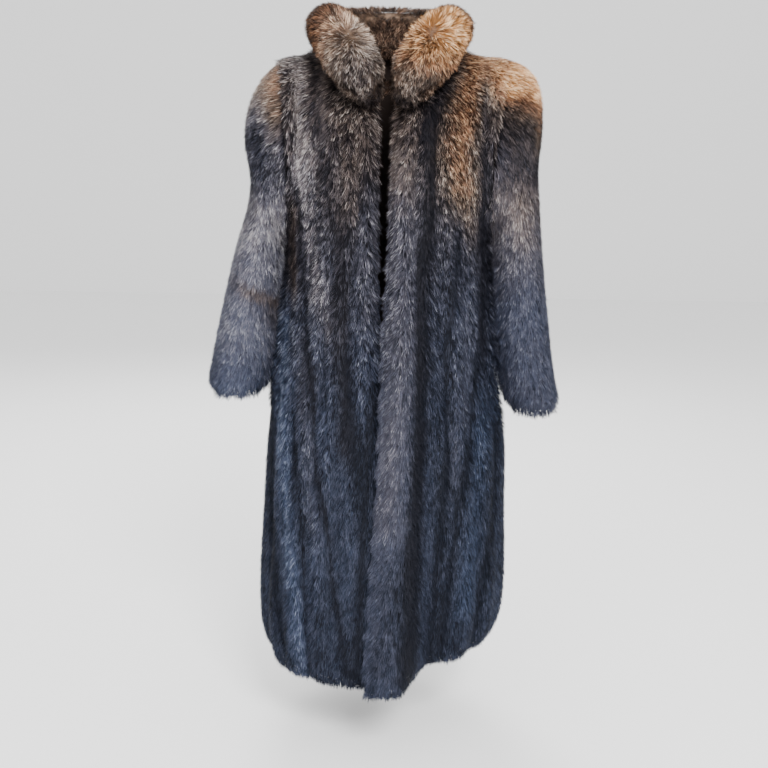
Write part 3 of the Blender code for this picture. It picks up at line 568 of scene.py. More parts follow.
def along_line(line, points):
    """For each point: the nearest place on a line of points, the line's way there, and how far it is."""
    line = np.array(line)
    steps = np.diff(line, axis=0)
    best = np.full(len(points), np.inf)
    place = np.zeros((len(points), 3))
    way = np.zeros((len(points), 3))
    slopes = unit(np.gradient(line, axis=0))
    for i, step in enumerate(steps):
        t = np.clip(((points - line[i]) @ step) / (step @ step), 0, 1)[:, None]
        at = line[i] + t * step
        far = np.linalg.norm(points - at, axis=1)
        nearer = far < best
        best[nearer] = far[nearer]
        place[nearer] = at[nearer]
        way[nearer] = (slopes[i] * (1 - t) + slopes[i + 1] * t)[nearer]
    return place, unit(way), best


def tree_of(points):
    """Points, ready for looking up the nearest ones."""
    tree = KDTree(len(points))
    for i, p in enumerate(points):
        tree.insert(p, i)
    tree.balance()
    return tree


def nearest(tree, point, count, soft):
    """The nearest points of a tree: their numbers, what each counts for, and how far the first one is."""
    found = tree.find_n(point, count)
    weights = np.array([1 / (d + soft) for _, _, d in found])
    return [i for _, i, _ in found], weights, found[0][2]


# ---------------------------------------------------------------- walls of the frame


class Wall:
    """A wall of the frame as points and triangles, with its outside and inside told apart."""

    def __init__(self, name):
        self.name = name
        shape = bmesh.new()
        shape.from_mesh(frame["nodes"][name].data)
        bmesh.ops.remove_doubles(shape, verts=shape.verts, dist=WELD)
        shape.normal_update()
        self.points = np.array([v.co for v in shape.verts])
        self.normals = np.array([v.normal for v in shape.verts])
        self.faces = np.array([[v.index for v in f.verts] for f in shape.faces])
        self.face_normals = np.array([f.normal for f in shape.faces])
        self.edges = np.array([[v.index for v in e.verts] for e in shape.edges])
        shape.free()
        self.surface = BVHTree.FromPolygons([Vector(p) for p in self.points], self.faces.tolist())
        self.thickness = np.array([self.depth_under(p, n) for p, n in zip(self.points, self.normals)])
        self.outer = dot(self.normals, self.away()) > 0
        self.sides = self.outer[self.faces].sum(axis=1)  # 3 outside, 0 inside, between them an edge
        self.square = self.square_normals()

    def square_normals(self):
        """Normals that leave out the faces of the edges, so that both sides of a seam move in alike."""
        total = np.zeros_like(self.points)
        for face, normal, side in zip(self.faces, self.face_normals, self.sides):
            if side in (0, 3):
                total[face] += normal
        lone = np.linalg.norm(total, axis=1) < TINY
        total[lone] = self.normals[lone]
        return unit(total)

    def depth_under(self, point, normal):
        """How thick the wall is under a point."""
        start = Vector(point - normal * JUST_OFF)
        return self.surface.ray_cast(start, Vector(-normal), THICKEST)[3] or THICKEST

    def away(self):
        """From the hollow towards each point."""
        p = self.points
        if self.name == "collar":
            return self.normals
        if self.name in SLEEVE_LINES:
            return unit(p - along_line(SLEEVE_LINES[self.name], p)[0])
        share = HOLLOW_SHARE + CHEST_SHARE * fade(p[:, 2], *HIPS_BAND)
        middle = np.stack((p[:, 0] * share, 0 * p[:, 1], np.minimum(p[:, 2], HOLLOW_TOP)), axis=1)
        return unit(p - middle)

    def find_edges(self, others):
        """The free edges: their points, which way each faces, and the faces that hair grows on there."""
        mixed = (self.sides > 0) & (self.sides < 3)
        self.seam_gap = np.array([nearest_gap(p, others) for p in self.points])
        facing = np.zeros_like(self.points)
        for face, normal in zip(self.faces[mixed], self.face_normals[mixed]):
            on_seam = (self.seam_gap[face] < SEAM_REACH).sum() > 1
            facing[face] += normal * (SEAM_WEIGHT if on_seam else 1)
        on_edge = np.linalg.norm(facing, axis=1) > 0
        self.free = np.flatnonzero(on_edge & (self.seam_gap > SEAM_REACH))
        self.facing = unit(facing[self.free]) if len(self.free) else facing[:0]
        is_free = np.isin(np.arange(len(self.points)), self.free)
        at_hem = is_free[self.faces].any(axis=1) & (self.face_normals[:, 2] < FACES_DOWN)
        self.free_rim = mixed & (is_free[self.faces].all(axis=1) | at_hem)
        pressing = np.array([pressed(p, n, others) for p, n in zip(self.points, self.normals)])
        self.pressed = pressing * self.outer

    def around(self, points):
        """Which way the nearest free edge faces, how far off it is, and how pressed the pile is there."""
        facing, near, flattened = np.zeros_like(points), np.ones(len(points)), np.zeros(len(points))
        if len(self.free):
            edge = tree_of(self.points[self.free])
            for k, p in enumerate(points):
                numbers, weights, near[k] = nearest(edge, p, *EDGE_BLEND)
                facing[k] = weights @ self.facing[numbers]
        whole = tree_of(self.points)
        for k, p in enumerate(points):
            numbers, weights, _ = nearest(whole, p, *PRESSED_BLEND)
            flattened[k] = np.average(self.pressed[numbers], weights=weights)
        return unit(facing), near, flattened

    def gap_at(self, points):
        """How far off the nearest other piece is."""
        tree = tree_of(self.points)
        return np.array([self.seam_gap[tree.find(p)[1]] for p in points])

    def giving_way(self, points):
        """How far points move back from the free edges, for the hair to hang over them."""
        moves = np.zeros_like(points)
        if not len(self.free):
            return moves
        tree = tree_of(self.points[self.free])
        for k, p in enumerate(points):
            numbers, weights, near = nearest(tree, p, *MOVE_BLEND)
            if near > EDGE_REACH:
                continue
            facing = (self.facing[numbers] * weights[:, None]).sum(axis=0)
            facing /= max(np.linalg.norm(facing), TINY)
            inset = max(LEAST_INSET, HAIR_ALONG * max(-facing[2], 0.0))
            moves[k] = -facing * inset * (1 - fade(near, 0, EDGE_REACH))
        return moves


def pressed(point, normal, others):
    """How far another piece in front of a point presses the pile flat: 1 is fully."""
    start, way = Vector(point + normal * JUST_OFF), Vector(normal)
    clear = min(w.surface.ray_cast(start, way, PRESSED_REACH)[3] or PRESSED_REACH for w in others)
    return float(1 - fade(clear, 0, PRESSED_REACH))


def nearest_gap(point, others):
    """How far off the nearest of the other walls is."""
    return min(w.surface.find_nearest(Vector(point), WIDEST_GAP)[3] or 1.0 for w in others)


# ---------------------------------------------------------------- skin


def skin_points(wall):
    """The wall's points with its outside moved in to where the hair is rooted."""
    if wall.name == "collar":
        pile = COLLAR_PILE * fade(wall.seam_gap, 0, COLLAR_THINS)
    else:
        pile = PILE * (1 - PRESSED_LOSS * wall.pressed)
    pile = np.minimum(pile, MOST_PILE * wall.thickness)
    outer_edges = wall.edges[wall.outer[wall.edges].all(axis=1)]
    moves = spread(-wall.square * (wall.outer * pile)[:, None], outer_edges, SKIN_EVENED)
    if wall.name == "collar":
        return wall.points + moves
    rise = np.minimum(LINING_RISE, MOST_RISE * wall.thickness)[:, None]
    moves[~wall.outer] += (-wall.square * rise)[~wall.outer]
    return wall.points + moves + wall.giving_way(wall.points)


def make_skin(wall, used, rooted, underfur, inside):
    """The skin as a closed sheet with its plain inside, just under the roots of the hair."""
    points = skin_points(wall)
    points[used] = rooted - wall.square[used] * UNDER_PELT
    made = object_of(wall.name + "_skin", points, wall.faces)
    made.data.materials.append(underfur)
    made.data.materials.append(inside)
    is_inside = (wall.sides < 2) & (wall.name != "collar")
    made.data.polygons.foreach_set("material_index", is_inside.astype(np.int32))
    made.data.polygons.foreach_set("use_smooth", np.ones(len(wall.faces), bool))
    return made


# ---------------------------------------------------------------- pelt: where hair grows, and how


def make_pelt(wall):
    """The hairy side of a skin in fine facets, the wall's points that it covers, and where they are on it."""
    wears_hair = (wall.sides == 3) | wall.free_rim
    if wall.name == "collar":
        hidden = wall.seam_gap < COLLAR_HIDDEN
        wears_hair &= hidden[wall.faces].sum(axis=1) < 3
    used, faces = np.unique(wall.faces[wears_hair], return_inverse=True)
    before = skin_points(wall)[used]
    pelt = object_of(wall.name + "_pelt", before, faces.reshape(-1, 3))
    shape = bmesh.new()
    shape.from_mesh(pelt.data)
    bmesh.ops.join_triangles(
        shape,
        faces=shape.faces,
        angle_face_threshold=FACET_TURN,
        angle_shape_threshold=FACET_SKEW,
        cmp_materials=False,
    )
    shape.to_mesh(pelt.data)
    shape.free()
    finer = pelt.modifiers.new("Finer", "SUBSURF")
    finer.levels = finer.render_levels = FINER
    finer.boundary_smooth = "PRESERVE_CORNERS"
    settle(pelt)
    moves = np.array([pelt.data.vertices[i].co for i in range(len(used))]) - before
    moves *= np.minimum(1, ROUNDED / np.maximum(np.linalg.norm(moves, axis=1), SMALLEST))[:, None]
    moves[wall.seam_gap[used] < SEAM_REACH] = 0
    return pelt, used, before + moves


def arrays_of(mesh):
    """Points, normals and edges of a mesh."""
    points = np.zeros(len(mesh.vertices) * 3)
    mesh.vertices.foreach_get("co", points)
    edges = np.zeros(len(mesh.edges) * 2, np.int32)
    mesh.edges.foreach_get("vertices", edges)
    normals = np.array([v.vector for v in mesh.vertex_normals])
    return points.reshape(-1, 3), normals, edges.reshape(-1, 2)


def store_values(mesh, wall, length, lift):
    """Store on a pelt's points which way its hair lies, how it stands and what its colours are."""
    points, normals, edges = arrays_of(mesh)
    groove = grooves(wall.name, points, normals, edges)
    facing, near, flattened = wall.around(points)
    flow = flow_of(wall.name, points, normals, unit(spread(normals, edges, BROAD_TIMES)))
    put(mesh, "flow", over_edges(flow, points, normals, facing, near), "FLOAT_VECTOR", "vector")
    effects = effects_on(wall, points, normals, facing, near)
    effects.update(groove=groove, pressed=flattened)
    lifts, lengths = np.full(len(points), float(lift)), np.full(len(points), length)
    for name, (higher, longer) in EFFECTS.items():
        if name in effects:
            lifts += higher * effects[name]
            lengths *= 1 + longer * effects[name]
    root, stray = root_and_stray(wall.name, points, effects)
    tint, tone, contrast = colour_of(wall.name, points, groove)
    values = (np.radians(lifts), lengths, stray, root, tint, tone, contrast)
    for name, value in zip(PELT_VALUES, values):
        put(mesh, name, value)


def effects_on(wall, points, normals, facing, near):
    """How strongly each effect of a pelt's place works at each point, from 0 to 1."""
    hem = np.maximum(-facing[:, 2], 0)
    by_edge = fade(near, *EDGE_BAND)
    rim = fade(dot(normals, facing), *RIM_BAND) * by_edge
    effects = {
        "shoulder": fade(normals[:, 2], *SHOULDER_BAND),
        "rim": rim,
        "hem": by_edge * hem,
        "hem_rim": rim * hem,
    }
    if wall.name in SLEEVE_LINES:
        effects["cuff"] = fade(near, *CUFF_BAND) * (1 - rim) * hem
    if wall.name == "collar":
        off_middle = np.min([np.linalg.norm(points - np.array(wing), axis=1) for wing in WINGS], axis=0)
        effects["wing_lift"] = fade(off_middle, *WING_LIFT_BAND)
        effects["wing_far"] = fade(off_middle, *WING_FAR_BAND)
        effects["wing_middle"] = fade(off_middle, *WING_MIDDLE_BAND)
        effects["opening"] = opening(points)
        effects["collar_seam"] = fade(wall.gap_at(points), *COLLAR_SEAM_BAND)
    return effects


def root_and_stray(name, points, effects):
    """How bright a hair's root is beside its tone, and how far locks stray from the way the hair lies."""
    root, stray = np.full(len(points), ROOT_SHARE), np.ones(len(points))
    if name in BODY:
        stray = 1 - SKIRT_CALMER * fade(points[:, 2], *SKIRT_BAND)
    if name == "collar":
        middle, seam = effects["wing_middle"], effects["collar_seam"]
        root = COLLAR_ROOT_SHARE + WING_ROOT_SHARE * middle
        stray = COLLAR_STRAY + WING_STRAY * middle + SEAM_STRAY * seam
    return root, stray * (1 - HEM_CALMER * effects["hem"])


def opening(points):
    """How near points of the collar are to where its wings meet in front."""
    return fade(np.abs(points[:, 0]), *OPENING_BAND) * (points[:, 1] < OPENING_FRONT)


def over_edges(flow, points, normals, facing, near):
    """The way the hair lies, turned out over the edges that don't face down."""
    turned = OVER_EDGE + OVER_LAP * fade(points[:, 2], *LAP_BAND)
    turned *= fade(near, *OVER_EDGE_BAND) * (1 - np.maximum(-facing[:, 2], 0))
    return across(flow + facing * turned[:, None], normals)


def flow_of(name, points, normals, broad):
    """Which way the hair lies at each point. Broad holds normals that pass over single rolls."""
    if name == "collar":
        return collar_flow(points, normals)
    fan = normals - broad
    stray = np.stack([wave(points, seed, FLOW_SWELL) for seed in FLOW_SEEDS], axis=1)
    if name in SLEEVE_LINES:
        way = along_line(SLEEVE_LINES[name], points)[1]
        return across(way + SLEEVE_FAN * fan + SLEEVE_STRAY * stray, normals)
    height, out = points[:, 2], np.abs(points[:, 0])
    from_neck = unit(points * (1, 1, 0) - NECK) * (FROM_NECK * fade(height, *FROM_NECK_BAND))[:, None]
    if name == "back":
        lean = BACK_LEAN * fade(out, *BACK_LEAN_BAND)
    else:
        lean = FRONT_LEAN + SIDE_LEAN * fade(out, *SIDE_LEAN_BAND)
    slant = np.sign(points[:, 0]) * lean * (HEM_LEAN + CHEST_LEAN * fade(height, *CHEST_BAND))
    sideways = np.stack((slant, 0 * slant, 0 * slant), axis=1)
    return across(DOWN + from_neck + sideways + BODY_FAN * fan + BODY_STRAY * stray * (1, 1, 0), normals)


def collar_flow(points, normals):
    """Out from the middle of each wing, over the roll elsewhere, and down where the wings meet."""
    out, down = OVER_ROLL
    flow = across(unit(points * (1, 1, 0) - NECK) * out + down, normals)
    for wing in WINGS:
        away = points - np.array(wing)
        share = fade(np.linalg.norm(away, axis=1), *WING_FLOW_BAND)[:, None]
        flow = flow * (1 - share) + across(away, normals) * share
    meeting = opening(points)[:, None]
    flow = flow * (1 - meeting) + DOWN * meeting
    stray = np.stack([wave(points, seed, COLLAR_SWELL) for seed in COLLAR_SEEDS], axis=1)
    return across(flow + COLLAR_FLOW_STRAY * stray, normals)


def grooves(name, points, normals, edges):
    """How far each point lies in a groove between two pelt strips: 1 is in the middle."""
    if name not in BODY:
        return np.zeros(len(points))
    stands_out = dot(points - spread(points, edges, GROOVE_TIMES), normals)[:, None]
    steps = np.abs(points[edges[:, 0]] - points[edges[:, 1]])
    upright = edges[steps[:, 2] > UPRIGHT * steps[:, 0]]
    stands_out = spread(stands_out, upright, GROOVE_TIMES)[:, 0]
    depth = fade(stands_out, *GROOVE_BAND) * (BACK_GROOVE if name == "back" else FRONT_GROOVE)
    for (half_width, *_), line in MARKS[name]:
        if half_width <= GROOVE_WIDTH:
            far = along_line(standing(line), points * (1, 0, 1))[2]
            depth = np.maximum(depth, np.exp(-((far / half_width) ** 2)) * (points[:, 1] < 0))
    return depth


# ---------------------------------------------------------------- colour of the fur


def colour_of(name, points, groove):
    """Tint, tone and contrast of the fur at each point."""
    if name == "collar":
        return collar_colour(points)
    table = np.array(SLEEVE_COLOURS.get(name, BODY_COLOURS))
    height = points[:, 2] + sum(wave(points, *swell) for swell in BORDER_WAVES)
    height += BACK_HANGS * np.maximum(points[:, 1], 0)
    height += fade(points[:, 1], *BACK_BAND) * wave(points, *BACK_WAVE)
    tint, tone, contrast = (np.interp(height, table[:, 0], table[:, i]) for i in (1, 2, 3))
    # painted shade in the grooves, and painted light on the strips between them
    tone = tone * (1 - GROOVE_PAINTED_SHADE * groove) + STRIP_PAINTED_LIGHT * (1 - groove)
    tone = tone + sum(wave(points, *swell) for swell in TONE_WAVES)
    contrast = contrast * (1 - GROOVE_DULLER * groove)
    ragged = wave(points, *MARK_WAVE)
    for (half_width, to_tint, share, add_tone, add_contrast), line in MARKS[name]:
        strength = nearness(standing(line), points * (1, 0, 1), half_width, ragged)
        if name != "back":
            strength = strength * (points[:, 1] < 0)
        tint = tint + (to_tint - tint) * share * strength
        tone = tone + add_tone * strength
        contrast = contrast + add_contrast * strength
    return np.clip(tint, 0, 1), np.clip(tone, LEAST_TONE, 1), np.clip(contrast, LEAST_CONTRAST, 1)


def collar_colour(points):
    """Tint, tone and contrast of the collar's fur at each point."""
    tint, tone = (np.full(len(points), c) for c in COLLAR_COLOUR)
    for centre, radius, to_tint, to_tone in COLLAR_MARKS:
        strength = np.exp(-((np.linalg.norm(points - centre, axis=1) / radius) ** 2))
        tint = tint + (to_tint - tint) * strength
        tone = tone + (to_tone - tone) * strength
    tone = tone + wave(points, *COLLAR_WAVE)
    return tint, np.clip(tone, LEAST_COLLAR_TONE, 1), COLLAR_CONTRAST + BY_TONE * tone


def standing(line):
    """A mark's line, given across and up, in the upright plane through the middle."""
    return [(x, 0.0, z) for x, z in line]


def nearness(line, points, half_width, ragged):
    """1 on a line, falling off across it, and more softly beyond its ends."""
    place, way, _ = along_line(line, points)
    off = points - place
    beyond = dot(off, way)
    aside = np.linalg.norm(off - way * beyond[:, None], axis=1) + ragged
    return np.exp(-((aside / half_width) ** 2) - (beyond / (half_width + SOFT_END)) ** 2)


# ---------------------------------------------------------------- locks of hair


def make_locks():
    """The kinds of lock: each a few narrow hairs, rooted at the origin and lying along X."""
    kinds = bpy.data.collections.new("Locks")
    random = np.random.default_rng(LOCK_SEED)
    for kind in range(LOCK_KINDS):
        points, faces, vary = [], [], []
        for _ in range(LOCK_HAIRS):
            start = len(points)
            points += hair(random)
            faces += [(start, start + 1, start + 2)]
            vary += [random.uniform(0, 1)] * 3
        lock = object_of(f"Lock.{kind}", points, faces)
        bpy.context.scene.collection.objects.unlink(lock)
        kinds.objects.link(lock)
        put(lock.data, "vary", vary)
        for name, values in LOCK_VALUES.items():
            put(lock.data, name, values * LOCK_HAIRS)
    return kinds


def hair(random):
    """Points of one hair: its root, the side where it is widest, and its tip."""
    root = np.array((random.uniform(-1, 1) * ROOT_SPREAD, random.uniform(-1, 1) * ROOT_SPREAD, 0.0))
    length = HAIR * random.uniform(*HAIR_LENGTHS)
    lift = math.radians(HAIR_LIFT + random.uniform(-LIFT_STRAY, LIFT_STRAY))
    aside = random.uniform(-1, 1) * TIP_SPREAD - root[1]
    tip = root + np.array((length * math.cos(lift), aside, length * math.sin(lift)))
    roll = math.radians(random.uniform(-ROLL, ROLL))
    wide = np.array((0.0, math.cos(roll), math.sin(roll))) * HAIR_WIDTH
    side = 1 if random.uniform(0, 1) < MIDDLE else -1
    return [root, root + (tip - root) * WIDEST + wide * side, tip]


# ---------------------------------------------------------------- fur, grown by Geometry Nodes


def find(sockets, key):
    """The socket with that number, name or identifier."""
    if isinstance(key, int):
        return sockets[key]
    return next(s for s in sockets if key in (s.identifier, s.name))


def add(tree, kind, inputs=(), out=0, **settings):
    """A new node's output. Each input gets a value, or a link from the output given for it."""
    made = tree.nodes.new(kind)
    for name, value in settings.items():
        setattr(made, name, value)
    given = inputs if isinstance(inputs, dict) else dict(enumerate(inputs))
    for key, value in given.items():
        socket = find(made.inputs, key)
        if isinstance(value, bpy.types.NodeSocket):
            tree.links.new(value, socket)
        else:
            socket.default_value = value
    return find(made.outputs, out) if len(made.outputs) else None


def fur_tree(locks):
    """Stands locks on a pelt along its flow, and colours each hair by tint and tone."""
    tree = bpy.data.node_groups.new("Fur", "GeometryNodeTree")
    for name, kind in (("Pelt", "Geometry"), ("Locks to a square metre", "Float"), ("Seed", "Int")):
        tree.interface.new_socket(name, in_out="INPUT", socket_type="NodeSocket" + kind)
    tree.interface.new_socket("Material", in_out="INPUT", socket_type="NodeSocketMaterial")
    tree.interface.new_socket("Fur", in_out="OUTPUT", socket_type="NodeSocketGeometry")
    given = add(tree, "NodeGroupInput").node.outputs
    read = {
        name: add(tree, "GeometryNodeInputNamedAttribute", {"Name": name}, data_type="FLOAT")
        for name in (*PELT_VALUES, *LOCK_VALUES, "vary", "chance")
    }
    planted = plant(tree, given, locks, read)
    hairs = add(tree, "GeometryNodeRealizeInstances", {"Geometry": planted})
    hairs = colour_hairs(tree, hairs, read)
    done = add(tree, "GeometryNodeSetMaterial", {"Geometry": hairs, "Material": given["Material"]})
    add(tree, "NodeGroupOutput", {"Fur": done})
    return tree


def plant(tree, given, locks, read):
    """The nodes that scatter places over the pelt and stand a lock on each."""
    density = given["Locks to a square metre"]
    to_a_metre = add(tree, "ShaderNodeMath", (density,), operation="SQRT")
    scatter = add(
        tree,
        "GeometryNodeDistributePointsOnFaces",
        {
            "Mesh": given["Pelt"],
            "Density Max": add(tree, "ShaderNodeMath", (density, TRIED), operation="MULTIPLY"),
            "Distance Min": add(tree, "ShaderNodeMath", (APART, to_a_metre), operation="DIVIDE"),
            "Seed": given["Seed"],
        },
        distribute_method="POISSON",
    ).node
    size, kind, chance = draws(tree)
    kinds = {"Collection": locks, "Separate Children": True, "Reset Children": True}
    planted = add(
        tree,
        "GeometryNodeInstanceOnPoints",
        {
            "Points": scatter.outputs["Points"],
            "Instance": add(tree, "GeometryNodeCollectionInfo", kinds),
            "Pick Instance": True,
            "Instance Index": kind,
            "Rotation": stand(tree, scatter.outputs["Normal"], read),
            "Scale": add(tree, "ShaderNodeMath", (size, read["length"]), operation="MULTIPLY"),
        },
    )
    return add(
        tree,
        "GeometryNodeStoreNamedAttribute",
        {"Geometry": planted, "Name": "chance", "Value": chance},
        data_type="FLOAT",
        domain="INSTANCE",
    )


def draws(tree):
    """Random values for each lock: its size, which kind it is, and its chance of being pale."""
    rows = (
        # kind   socket  least  most  seed
        ("FLOAT", "_001", *LOCK_SIZES, SIZE_SEED),
        ("INT", "_002", 0, LOCK_KINDS - 1, KIND_SEED),
        ("FLOAT", "_001", 0.0, 1.0, CHANCE_SEED),
    )
    return [
        add(
            tree,
            "FunctionNodeRandomValue",
            {"Min" + socket: least, "Max" + socket: most, "Seed": seed},
            out="Value" + socket,
            data_type=kind,
        )
        for kind, socket, least, most, seed in rows
    ]


def stand(tree, normal, read):
    """The nodes that turn a lock from X and Z to the flow and the normal, and let it lift and stray."""
    flow = add(tree, "GeometryNodeInputNamedAttribute", {"Name": "flow"}, data_type="FLOAT_VECTOR")
    along = add(tree, "FunctionNodeAxesToRotation", (normal, flow), primary_axis="Z", secondary_axis="X")
    limits = {0: tuple(-t for t in TILT), 1: TILT, "Seed": TILT_SEED}
    tilt = add(tree, "FunctionNodeRandomValue", limits, data_type="FLOAT_VECTOR")
    tilt = add(tree, "ShaderNodeVectorMath", {0: tilt, "Scale": read["stray"]}, operation="SCALE")
    raised = add(tree, "ShaderNodeMath", (read["lift"], -1.0), operation="MULTIPLY")
    raised = add(tree, "ShaderNodeCombineXYZ", {1: raised})
    turned = add(tree, "ShaderNodeVectorMath", (tilt, raised), operation="ADD")
    return add(tree, "FunctionNodeRotateRotation", (along, turned), rotation_space="LOCAL")


def colour_hairs(tree, hairs, read):
    """The nodes that give each hair its tint and tone, as attributes and as a map on its corners."""
    by_hair = add(tree, "ShaderNodeMath", (read["vary"], HAIR_RARITY), operation="POWER")
    by_lock = add(tree, "ShaderNodeMath", (read["chance"], LOCK_RARITY), operation="POWER")
    own = add(tree, "ShaderNodeMath", (by_hair, HAIR_SHARE), operation="MULTIPLY")
    own = add(tree, "ShaderNodeMath", (by_lock, LOCK_SHARE, own), operation="MULTIPLY_ADD")
    paler = add(tree, "ShaderNodeMath", (own, USUAL), operation="SUBTRACT")
    swing = add(tree, "ShaderNodeMath", (paler, read["contrast"]), operation="MULTIPLY")
    tip = add(tree, "ShaderNodeMath", (swing, SWING, read["tone"]), operation="MULTIPLY_ADD")
    root = add(tree, "ShaderNodeMath", (read["tone"], read["root"]), operation="MULTIPLY")
    rise = add(tree, "ShaderNodeMath", (tip, root), operation="SUBTRACT")
    tone = add(tree, "ShaderNodeMath", (rise, read["shine"], root), operation="MULTIPLY_ADD")
    stray = add(tree, "ShaderNodeMath", (read["chance"], MIDDLE), operation="SUBTRACT")
    stray = add(tree, "ShaderNodeMath", (stray, TINT_STRAY), operation="MULTIPLY")
    tint = add(tree, "ShaderNodeMath", (read["tint"], stray), operation="ADD")
    tint = add(tree, "ShaderNodeMath", (read["side"], SIDE_TINT, tint), operation="MULTIPLY_ADD")
    corners = {}
    for axis, (name, value) in enumerate((("hue", tint), ("shade", tone))):
        hairs = add(
            tree,
            "GeometryNodeStoreNamedAttribute",
            {"Geometry": hairs, "Name": name, "Value": add(tree, "ShaderNodeClamp", (value, *COLOUR_LIMITS))},
            data_type="FLOAT",
            domain="POINT",
        )
        corners[axis] = add(tree, "GeometryNodeInputNamedAttribute", {"Name": name}, data_type="FLOAT")
    return add(
        tree,
        "GeometryNodeStoreNamedAttribute",
        {"Geometry": hairs, "Name": "OFBake", "Value": add(tree, "ShaderNodeCombineXYZ", corners)},
        data_type="FLOAT2",
        domain="CORNER",
    )


def grow(name, pelt, tree, density, fur):
    """The fur of a pelt, as one piece or, on the large back, as two."""
    halves = ("_right", "_left") if name == "back_fur" else ("",)
    sockets = {s.name: s.identifier for s in tree.interface.items_tree if s.in_out == "INPUT"}
    used_up = ("flow", *PELT_VALUES, *LOCK_VALUES, "vary", "chance")
    grown = []
    for number, half in enumerate(halves):
        hairs = pelt.copy()
        hairs.data = pelt.data.copy()
        bpy.context.scene.collection.objects.link(hairs)
        hairs.name = name + half
        if half:
            keep_half(hairs.data, half == "_right")
        growth = hairs.modifiers.new("Fur", "NODES")
        growth.node_group = tree
        growth[sockets["Locks to a square metre"]] = float(density)
        growth[sockets["Seed"]] = FIRST_SEED + number
        growth[sockets["Material"]] = fur
        settle(hairs)
        for attribute in [a.name for a in hairs.data.attributes if a.name in used_up]:
            hairs.data.attributes.remove(hairs.data.attributes[attribute])
        grown.append(hairs)
    return grown


def keep_half(mesh, right):
    """Leaves of a pelt what lies on the wearer's right or left."""
    shape = bmesh.new()
    shape.from_mesh(mesh)
    far = [f for f in shape.faces if (f.calc_center_median().x > 0) == right]
    bmesh.ops.delete(shape, geom=far, context="FACES")
    shape.to_mesh(mesh)
    shape.free()


# ---------------------------------------------------------------- materials


UNDERFUR_ROUGHNESS, INSIDE_ROUGHNESS, HAIR_ROUGHNESS, SCREEN_ROUGHNESS = 0.9, 0.7, 0.6, 0.9
DULL_SPECULAR, HAIR_SPECULAR = 0.1, 0.08  # neither cloth nor a mass of hair has a clear shine


def shader(name):
    made = bpy.data.materials.new(name)
    made.use_nodes = True
    return made, made.node_tree, made.node_tree.nodes["Principled BSDF"]


def plain(name, code, roughness):
    """One dull colour all over."""
    made, _, surface = shader(name)
    surface.inputs["Base Color"].default_value = colour(code)
    surface.inputs["Roughness"].default_value = roughness
    surface.inputs["Specular IOR Level"].default_value = DULL_SPECULAR
    return made


def dark_underfur():
    """Dense short underfur, nearly black, so that the fur looks deep between its locks."""
    return plain("Dark underfur", "#131218", UNDERFUR_ROUGHNESS)


def pale_underfur():
    """Dense warm brown underfur, so that the pale wings stay soft where their locks part."""
    return plain("Pale underfur of the collar", "#6e5a4b", UNDERFUR_ROUGHNESS)


def plain_inside():
    """A dull dark brown, which lets the hollow look shaded. No lining shows, so it is left plain."""
    return plain("Dark brown plain inside", "#2a221f", INSIDE_ROUGHNESS)


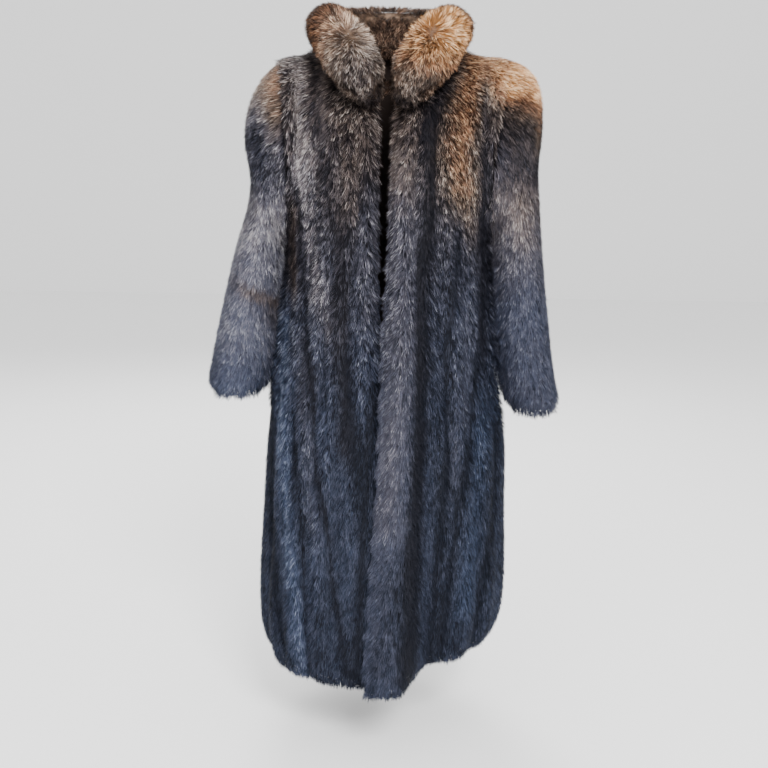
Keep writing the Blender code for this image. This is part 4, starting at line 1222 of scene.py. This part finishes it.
def fox_hair():
    """Banded hair, which gives the grizzled streaks: dark at the root, and lighter or darker tips."""
    made, tree, surface = shader("Banded fox hair")
    hue = add(tree, "ShaderNodeAttribute", attribute_name="hue", out="Fac")
    shade = add(tree, "ShaderNodeAttribute", attribute_name="shade", out="Fac")
    ramps = []
    for depth in range(3):  # dark, middle and light
        ramps.append(add(tree, "ShaderNodeValToRGB", (hue,)))
        stops = ramps[-1].node.color_ramp.elements
        while len(stops) < len(SHADES):
            stops.new(MIDDLE)
        for stop, (tint, *shades) in zip(stops, SHADES):
            stop.position = tint
            stop.color = colour(shades[depth])
    dark, middle, light = ramps
    low = add(tree, "ShaderNodeMath", (shade, 2.0), operation="MULTIPLY")
    high = add(tree, "ShaderNodeMath", (shade, 2.0, -1.0), operation="MULTIPLY_ADD")
    mixed = dark
    for share, paler in ((low, middle), (high, light)):
        mixed = add(
            tree,
            "ShaderNodeMix",
            {"Factor_Float": share, "A_Color": mixed, "B_Color": paler},
            out="Result_Color",
            data_type="RGBA",
            clamp_factor=True,
        )
    tree.links.new(mixed, surface.inputs["Base Color"])
    surface.inputs["Roughness"].default_value = HAIR_ROUGHNESS
    surface.inputs["Specular IOR Level"].default_value = HAIR_SPECULAR
    return made


# ---------------------------------------------------------------- stage


def declare(wall):
    """Does nothing with the wall."""
    if wall.name == "collar":
        return


def stage():
    """An evenly lit pale studio, seen from in front and a little above."""
    scene = bpy.context.scene
    pale = plain("Pale floor", "#f2f2f2", SCREEN_ROUGHNESS)
    floor = screen("Floor", pale, location=(0, 0, FLOOR_Z))
    backdrop = screen("Backdrop", pale, location=(0, BACKDROP_Y, 0), rotation=(math.radians(90), 0, 0))
    lights = [light(*row) for row in LIGHTS]
    world = bpy.data.worlds.new("Pale studio")
    world.use_nodes = True
    sky = world.node_tree.nodes["Background"]
    sky.inputs["Color"].default_value = (1, 1, 1, 1)
    sky.inputs["Strength"].default_value = SKY_STRENGTH
    scene.world = world
    scene.camera = camera()


def screen(name, looks, **place):
    """A large flat square of the studio."""
    bpy.ops.mesh.primitive_plane_add(size=STAGE_SIZE, **place)
    made = bpy.context.object
    made.name = name
    made.data.materials.append(looks)
    return made


def light(name, place, size, power):
    """A square lamp that points at the coat."""
    data = bpy.data.lights.new(name, "AREA")
    data.size = size
    data.energy = power
    made = bpy.data.objects.new(name, data)
    made.location = place
    made.rotation_euler = (Vector(LIT_POINT) - Vector(place)).to_track_quat("-Z", "Y").to_euler()
    bpy.context.scene.collection.objects.link(made)
    return made


def camera():
    """Stands at the height of the breast and looks down a little."""
    data = bpy.data.cameras.new("Camera")
    data.lens = FOCAL_PIXELS / PICTURE_PIXELS * SENSOR
    data.sensor_width = SENSOR
    made = bpy.data.objects.new("Camera", data)
    made.matrix_world = (
        Matrix.Translation(CAMERA_PLACE)
        @ Matrix.Rotation(math.radians(90 - CAMERA_DOWN), 4, "X")
        @ Matrix.Rotation(math.radians(CAMERA_ROLL), 4, "Z")
    )
    bpy.context.scene.collection.objects.link(made)
    return made


main()
